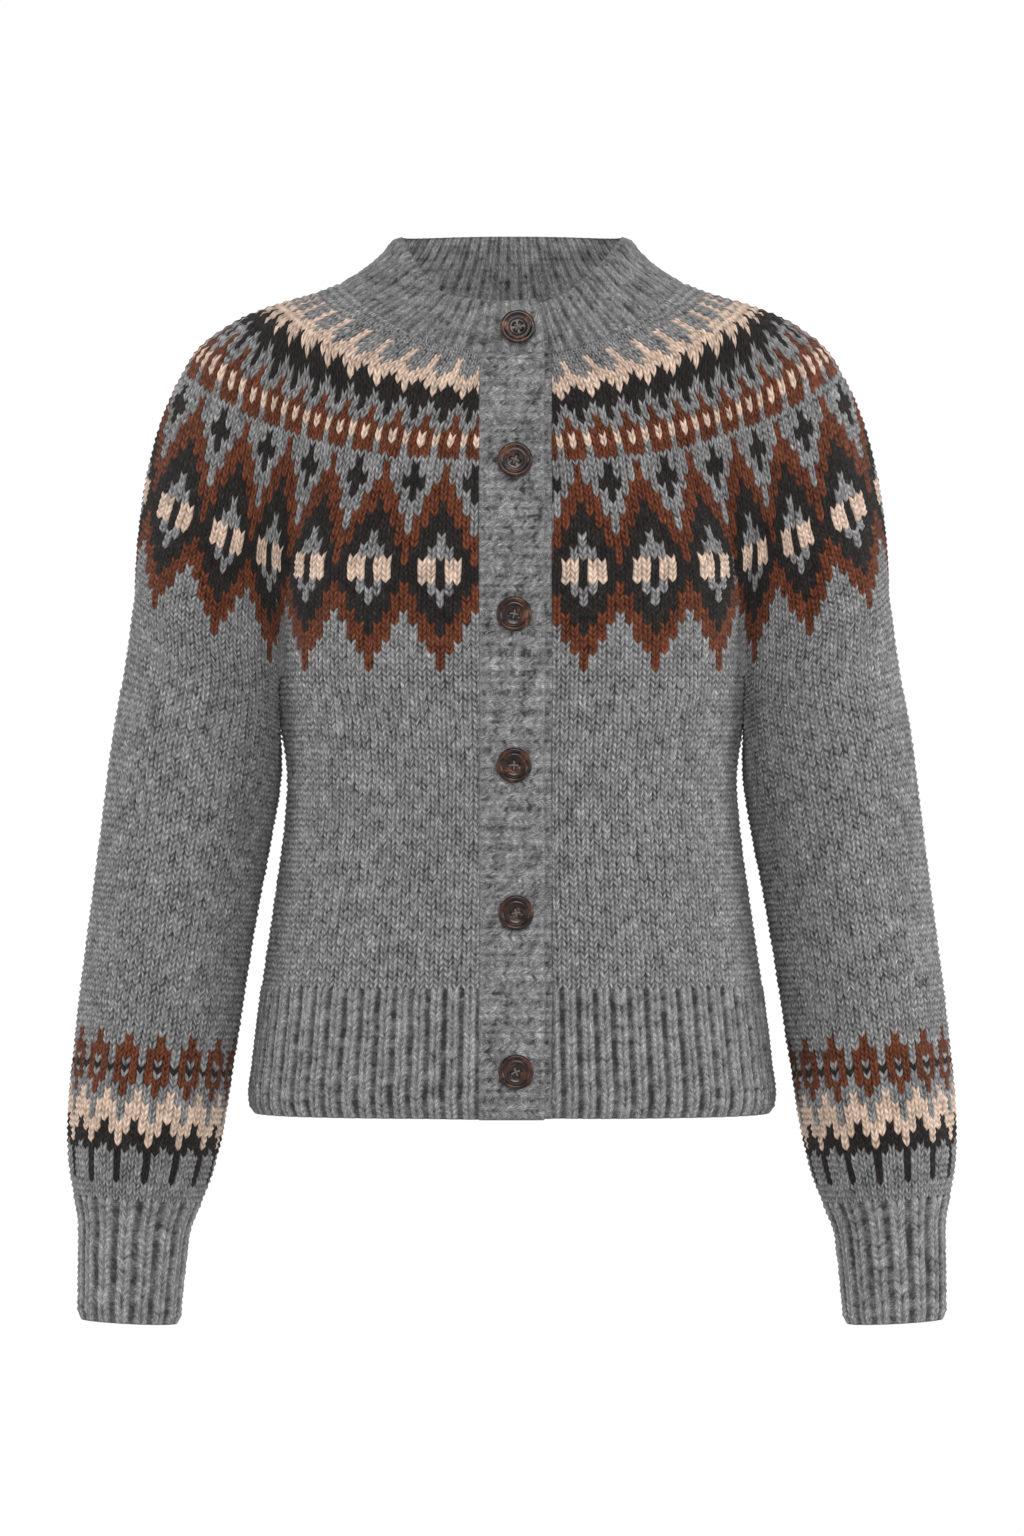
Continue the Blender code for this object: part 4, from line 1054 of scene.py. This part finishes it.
def front_profile():
    """Levels of the body and yoke up the centre front, at even steps of length."""
    way = [(body_sheet, z) for z in np.linspace(HEM_Z, UNDERARM_Z, 90)]
    way += [(yoke_sheet, row) for row in np.linspace(YOKE_BOTTOM_ROW, YOKE_TOP_ROW, 90)[1:]]
    spots = np.array([sheet(np.array([0.3]), level)[0] for sheet, level in way])
    length = np.concatenate(([0], np.cumsum(np.linalg.norm(np.diff(spots, axis=0), axis=1))))
    length /= length[-1]
    ribs = np.arange(BAND_RIBS)[:, None] + np.array(RIB["places"])[None, :]
    for share in np.append(ribs.ravel(), BAND_RIBS) / BAND_RIBS:
        low = min(int(np.searchsorted(length, share, side="right")) - 1, len(way) - 2)
        part = (share - length[low]) / (length[low + 1] - length[low])
        (sheet, start), (_, end) = (way[low + 1][0], way[low][1]), way[low + 1]
        if way[low][0] is not sheet:
            start = YOKE_BOTTOM_ROW
        yield sheet, start + (end - start) * part


profile = list(front_profile())
for name, edges, lift in (
        ("buttonhole_band", UPPER_BAND, BAND_LIFT),
        ("button_band", LOWER_BAND, -BAND_LIFT)):
    places = np.linspace(*edges, 2 * BAND_ROWS + 1)
    points = np.array([sheet(stitch_at_x(sheet, level, places), level) for sheet, level in profile])
    points = points.transpose(1, 0, 2)
    normals = one_long(np.cross(np.gradient(points, axis=0), np.gradient(points, axis=1)))
    points = layered(points, normals, lift)
    shape = points.shape[:2]
    slides, heights, painted_shades = plan(BAND_RIB, shape, True, True)
    heights = heights + uneven(shape, (1, 1), 0.20) + uneven(shape, (2, 4), 0.26)
    heights = heights + uneven(shape, (5, 9), 0.2) + FELT_HEIGHT
    # painted shade between the band's ribs
    painted_shades = 0.45 + 0.62 * painted_shades + uneven(shape, (1, 1), 0.24) + uneven(shape, (2, 4), 0.24)
    heights[:2] -= RIGHT_EDGE_SINK
    heights[-2:] -= LEFT_EDGE_SINK
    if lift < 0:
        under = places[:, None] < places[-1] - UNDER_MARGIN
        heights = np.where(under, np.minimum(heights, UNDER_HEIGHT), heights)
    free_edge = smooth_step(0.4, 1, np.linspace(0, 1, shape[0]))[:, None]
    sway = uneven(shape, (8, 40), 0.5) + free_edge * np.interp(np.arange(shape[1]), EDGE_SWAY_AT, EDGE_SWAY)
    outer = slid(points, slides) + lifted(normals, heights)
    outer[..., 0] += sway / 1000
    inner = (points - normals * BAND_WALL)[::INSIDE_STEP, ::INSIDE_STEP]
    fine = grid_mesh(outer, yarn_layout(BAND_RIB, painted_shades, plain_colour))
    coarse = grid_mesh(inner, inside_layout(1, inner.shape[:2], (12.0, 14.4)))
    piece = shell(name + "_knit", fine, coarse, PLAIN_WOOL)
    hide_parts(name)

# ---------------------------------------------------------------- Buttons
# Six turned horn buttons with a rolled rim and four holes, sewn on with grey thread through
# both bands. Horn is dark brown with amber patches and is polished, so the rims glint.
BUTTON_DIAMETER = 0.022
BUTTON_THICKNESS = 0.0036
BUTTON_HOLE = 0.0011
BUTTON_HOLE_SPREAD = 0.0024
LAYER_GAP = 0.0004
NECK_RIB_HEIGHT = 0.0012         # of the neckband's ribs, which the first button lies on
BUTTON_TURN = math.radians(11)   # each button is sewn on a little further round than the last
THREAD_RADIUS = 0.00052
THREAD_FOOT = 0.56               # where the thread's arch starts, as a share of the button's thickness
THREAD_FLATTENING = 0.34
THREAD_TURNS = ((math.pi / 4, 0.0), (3 * math.pi / 4, 0.0004))         # turn and lift of each stitch
BUTTON_PLACES = ((0.0037, -0.0290), (0.0019, -0.1120), (0.0013, -0.2077),
                 (0.0013, -0.3016), (0.0025, -0.3938), (0.0025, -0.4927))
BUTTON_SECTION = ((0, 0), (0.70, 0), (0.93, 0.16), (0.995, 0.42), (1.0, 0.55), (0.985, 0.76), (0.94, 0.93),
                  (0.88, 1.0), (0.81, 0.97), (0.755, 0.87), (0.72, 0.75), (0.70, 0.68), (0.66, 0.66),
                  (0.63, 0.71), (0.59, 0.73), (0.55, 0.71), (0.50, 0.64), (0.40, 0.60), (0, 0.59))


def button_seat(x, z):
    """Place and backward tilt of a button on the upper band or the neckband's end."""
    if z > -0.04:
        sheet, levels, lift = neck_sheet, (0.1, 0.7), NECK_LIFT + NECK_RIB_HEIGHT
    elif z > UNDERARM_Z:
        sheet, levels, lift = yoke_sheet, (YOKE_BOTTOM_ROW, YOKE_TOP_ROW), BAND_LIFT
    else:
        sheet, levels, lift = body_sheet, (HEM_Z, UNDERARM_Z), BAND_LIFT
    spots = np.array([sheet(np.array([0.3]), level)[0] for level in np.linspace(*levels, 80)])
    half = BUTTON_DIAMETER / 4
    low_y, y, high_y = np.interp((z - half, z, z + half), spots[:, 2], spots[:, 1])
    tilt = math.atan2(high_y - low_y, 2 * half)
    seat = lift + LAYER_GAP
    return (x, y - seat * math.cos(tilt), z + seat * math.sin(tilt)), tilt


def horn(name):
    """Polished horn: amber clouds of about 7 mm in near-black brown, with a clear shine."""
    material, tree, shader = new_material(name, {"Roughness": 0.34, "IOR": 1.50, "Specular IOR Level": 0.25,
                                                 "Coat Weight": 0.20, "Coat Roughness": 0.12})
    place = add_node(tree, "ShaderNodeTexCoord", {})
    clouds = add_node(tree, "ShaderNodeTexNoise", {"Vector": place.outputs["Object"], "Scale": 150.0,
                                                  "Detail": 3.0, "Roughness": 0.55, "Distortion": 0.8})
    tone = add_node(tree, "ShaderNodeValToRGB", {"Fac": clouds.outputs[0]})
    shade_stops(tone, ((0.38, "#150c09"), (0.50, "#2a1710"), (0.60, "#4a2a1a"), (0.72, "#75492e")))
    tree.links.new(tone.outputs[0], shader.inputs["Base Color"])
    scratches = add_node(tree, "ShaderNodeTexNoise", {"Vector": place.outputs["Object"], "Scale": 900.0,
                                                     "Detail": 3.0})
    bump = add_node(tree, "ShaderNodeBump", {"Height": scratches.outputs[0], "Strength": 0.12,
                                            "Distance": 0.0003})
    tree.links.new(bump.outputs[0], shader.inputs["Normal"])
    return material


def sewing_thread(name):
    """Twisted cotton thread, dull, with the shade of its twist painted as fine darker bars."""
    material, tree, shader = new_material(name, {"Roughness": 0.85})
    place = add_node(tree, "ShaderNodeTexCoord", {})
    painted_twist_shade = add_node(tree, "ShaderNodeTexWave", {"Vector": place.outputs["Object"], "Scale": 900.0,
                                                "Distortion": 1.0}, bands_direction="DIAGONAL")
    tone = add_node(tree, "ShaderNodeValToRGB", {"Fac": painted_twist_shade.outputs[0]})
    shade_stops(tone, ((0.0, "#4c4743"), (1.0, "#7d7670")))
    tree.links.new(tone.outputs[0], shader.inputs["Base Color"])
    return material


button_horn = horn("polished_horn")
button_thread = sewing_thread("cotton_sewing_thread")


def turned_button():
    """One button lying on z = 0: its section spun round, then four holes cut through."""
    bm = bmesh.new()
    section = [bm.verts.new((r * BUTTON_DIAMETER / 2, 0, h * BUTTON_THICKNESS)) for r, h in BUTTON_SECTION]
    edges = [bm.edges.new(pair) for pair in zip(section, section[1:])]
    bmesh.ops.spin(bm, geom=section + edges, cent=(0, 0, 0), axis=(0, 0, 1), angle=2 * math.pi, steps=56,
                   use_merge=True)
    bmesh.ops.remove_doubles(bm, verts=bm.verts, dist=0.000001)
    bmesh.ops.recalc_face_normals(bm, faces=bm.faces)
    disc = mesh_from(bm, "disc")
    bm = bmesh.new()
    for quarter in range(4):
        angle = math.pi / 4 + quarter * math.pi / 2
        pin = bmesh.ops.create_cone(bm, cap_ends=True, segments=16, radius1=BUTTON_HOLE, radius2=BUTTON_HOLE,
                                    depth=4 * BUTTON_THICKNESS)
        bmesh.ops.translate(bm, verts=pin["verts"], vec=(BUTTON_HOLE_SPREAD * math.cos(angle),
                                                         BUTTON_HOLE_SPREAD * math.sin(angle), 0))
    body, cutter = placed("disc", disc), placed("pins", mesh_from(bm, "pins"))
    cut = body.modifiers.new("holes", "BOOLEAN")
    cut.object = cutter
    cut.operation = "DIFFERENCE"
    bpy.context.view_layer.update()
    result = bpy.data.meshes.new_from_object(body.evaluated_get(bpy.context.evaluated_depsgraph_get()))
    for thing in (body, cutter):
        bpy.data.objects.remove(thing)
    return result


def thread_cross():
    """Two thick stitches of thread that cross from hole to hole."""
    bm = bmesh.new()
    for turn, lift in THREAD_TURNS:
        end = bmesh.ops.create_circle(bm, cap_ends=True, segments=10, radius=THREAD_RADIUS)
        bmesh.ops.translate(bm, verts=end["verts"], vec=(BUTTON_HOLE_SPREAD, 0, 0))
        faces = list({face for vert in end["verts"] for face in vert.link_faces})
        bmesh.ops.spin(bm, geom=faces, cent=(0, 0, 0), axis=(0, -1, 0), angle=math.pi, steps=14)
        verts = {vert for face in bm.faces for vert in face.verts if not vert.tag}
        move = (Matrix.Translation((0, 0, THREAD_FOOT * BUTTON_THICKNESS + lift))
                @ Matrix.Rotation(turn, 4, "Z") @ Matrix.Diagonal((1, 1, THREAD_FLATTENING, 1)))
        bmesh.ops.transform(bm, verts=list(verts), matrix=move)
        for vert in verts:
            vert.tag = True
    bmesh.ops.recalc_face_normals(bm, faces=bm.faces)
    return mesh_from(bm, "thread")


disc = turned_button()
stitches = thread_cross()
for number, (x, z) in enumerate(BUTTON_PLACES, start=1):
    place, tilt = button_seat(x, z)
    move = (Matrix.Translation(place) @ Matrix.Rotation(math.pi / 2 - tilt, 4, "X")
            @ Matrix.Rotation(number * BUTTON_TURN, 4, "Z"))
    for mesh, kind, material in (
            (disc, "button_%d_horn", button_horn),
            (stitches, "button_%d_thread", button_thread)):
        shape = mesh.copy()
        shape.transform(move)
        shape.materials.clear()
        shape.materials.append(material)
        shape.polygons.foreach_set("use_smooth", [True] * len(shape.polygons))
        thing = placed(kind % number, shape)
        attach(thing, "root")
        if mesh is disc:
            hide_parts("button_%d" % number)

# ---------------------------------------------------------------- Studio
# A plain white floor in a white tent, soft lights on both sides and behind, and a camera level
# with the middle of the cardigan.
FLOOR_RADIUS = 1.7
FLOOR_Z = -0.95
CAMERA_PLACE = (0, -5.417, -0.3035)
bm = bmesh.new()
bmesh.ops.create_circle(bm, cap_ends=True, segments=64, radius=FLOOR_RADIUS)
bmesh.ops.translate(bm, verts=bm.verts, vec=(0, 0, FLOOR_Z))
floor = placed("studio_floor", mesh_from(bm, "studio_floor"))
paper = new_material("matt_white_paper", {"Base Color": (0.9, 0.9, 0.9, 1), "Roughness": 0.9})[0]
floor.data.materials.append(paper)

# A white tent: bright all round at eye level, dimmer overhead
world = bpy.data.worlds.new("studio_tent")
world.use_nodes = True
tree = world.node_tree
direction = add_node(tree, "ShaderNodeTexCoord", {})
height = add_node(tree, "ShaderNodeSeparateXYZ", {0: direction.outputs["Generated"]})
steep = add_node(tree, "ShaderNodeMath", {0: height.outputs["Z"]}, operation="ABSOLUTE")
glow = add_node(tree, "ShaderNodeMapRange", {"Value": steep.outputs[0], "From Min": 0.10, "From Max": 0.30,
                                            "To Min": 1.02, "To Max": 0.24})
tree.links.new(glow.outputs[0], tree.nodes["Background"].inputs["Strength"])
tree.nodes["Background"].inputs["Color"].default_value = (1, 1, 1, 1)
bpy.context.scene.world = world

for name, place, turn, size, power in (
        ("right_light", (3.2, -0.7, 0.5), (80, 0, 78), 1.2, 38),
        ("left_light", (-3.2, -0.7, 0.5), (80, 0, -78), 1.2, 26),
        ("front_light", (0.3, -3.4, 1.9), (60, 0, 5), 1.6, 86),
        ("back_light", (-0.6, 3.3, 1.6), (62, 0, 190), 1.6, 50)):
    light = bpy.data.lights.new(name, "AREA")
    light.size = size
    light.energy = power
    lamp = placed(name, light)
    lamp.location = place
    lamp.rotation_euler = [math.radians(angle) for angle in turn]

camera = bpy.data.cameras.new("camera")
camera.lens = 200
camera.sensor_fit = "VERTICAL"
camera.sensor_height = 36
view = placed("camera", camera)
view.location = CAMERA_PLACE
view.rotation_euler = (math.pi / 2, 0, 0)
bpy.context.scene.camera = view
bpy.context.scene.view_settings.view_transform = "Standard"
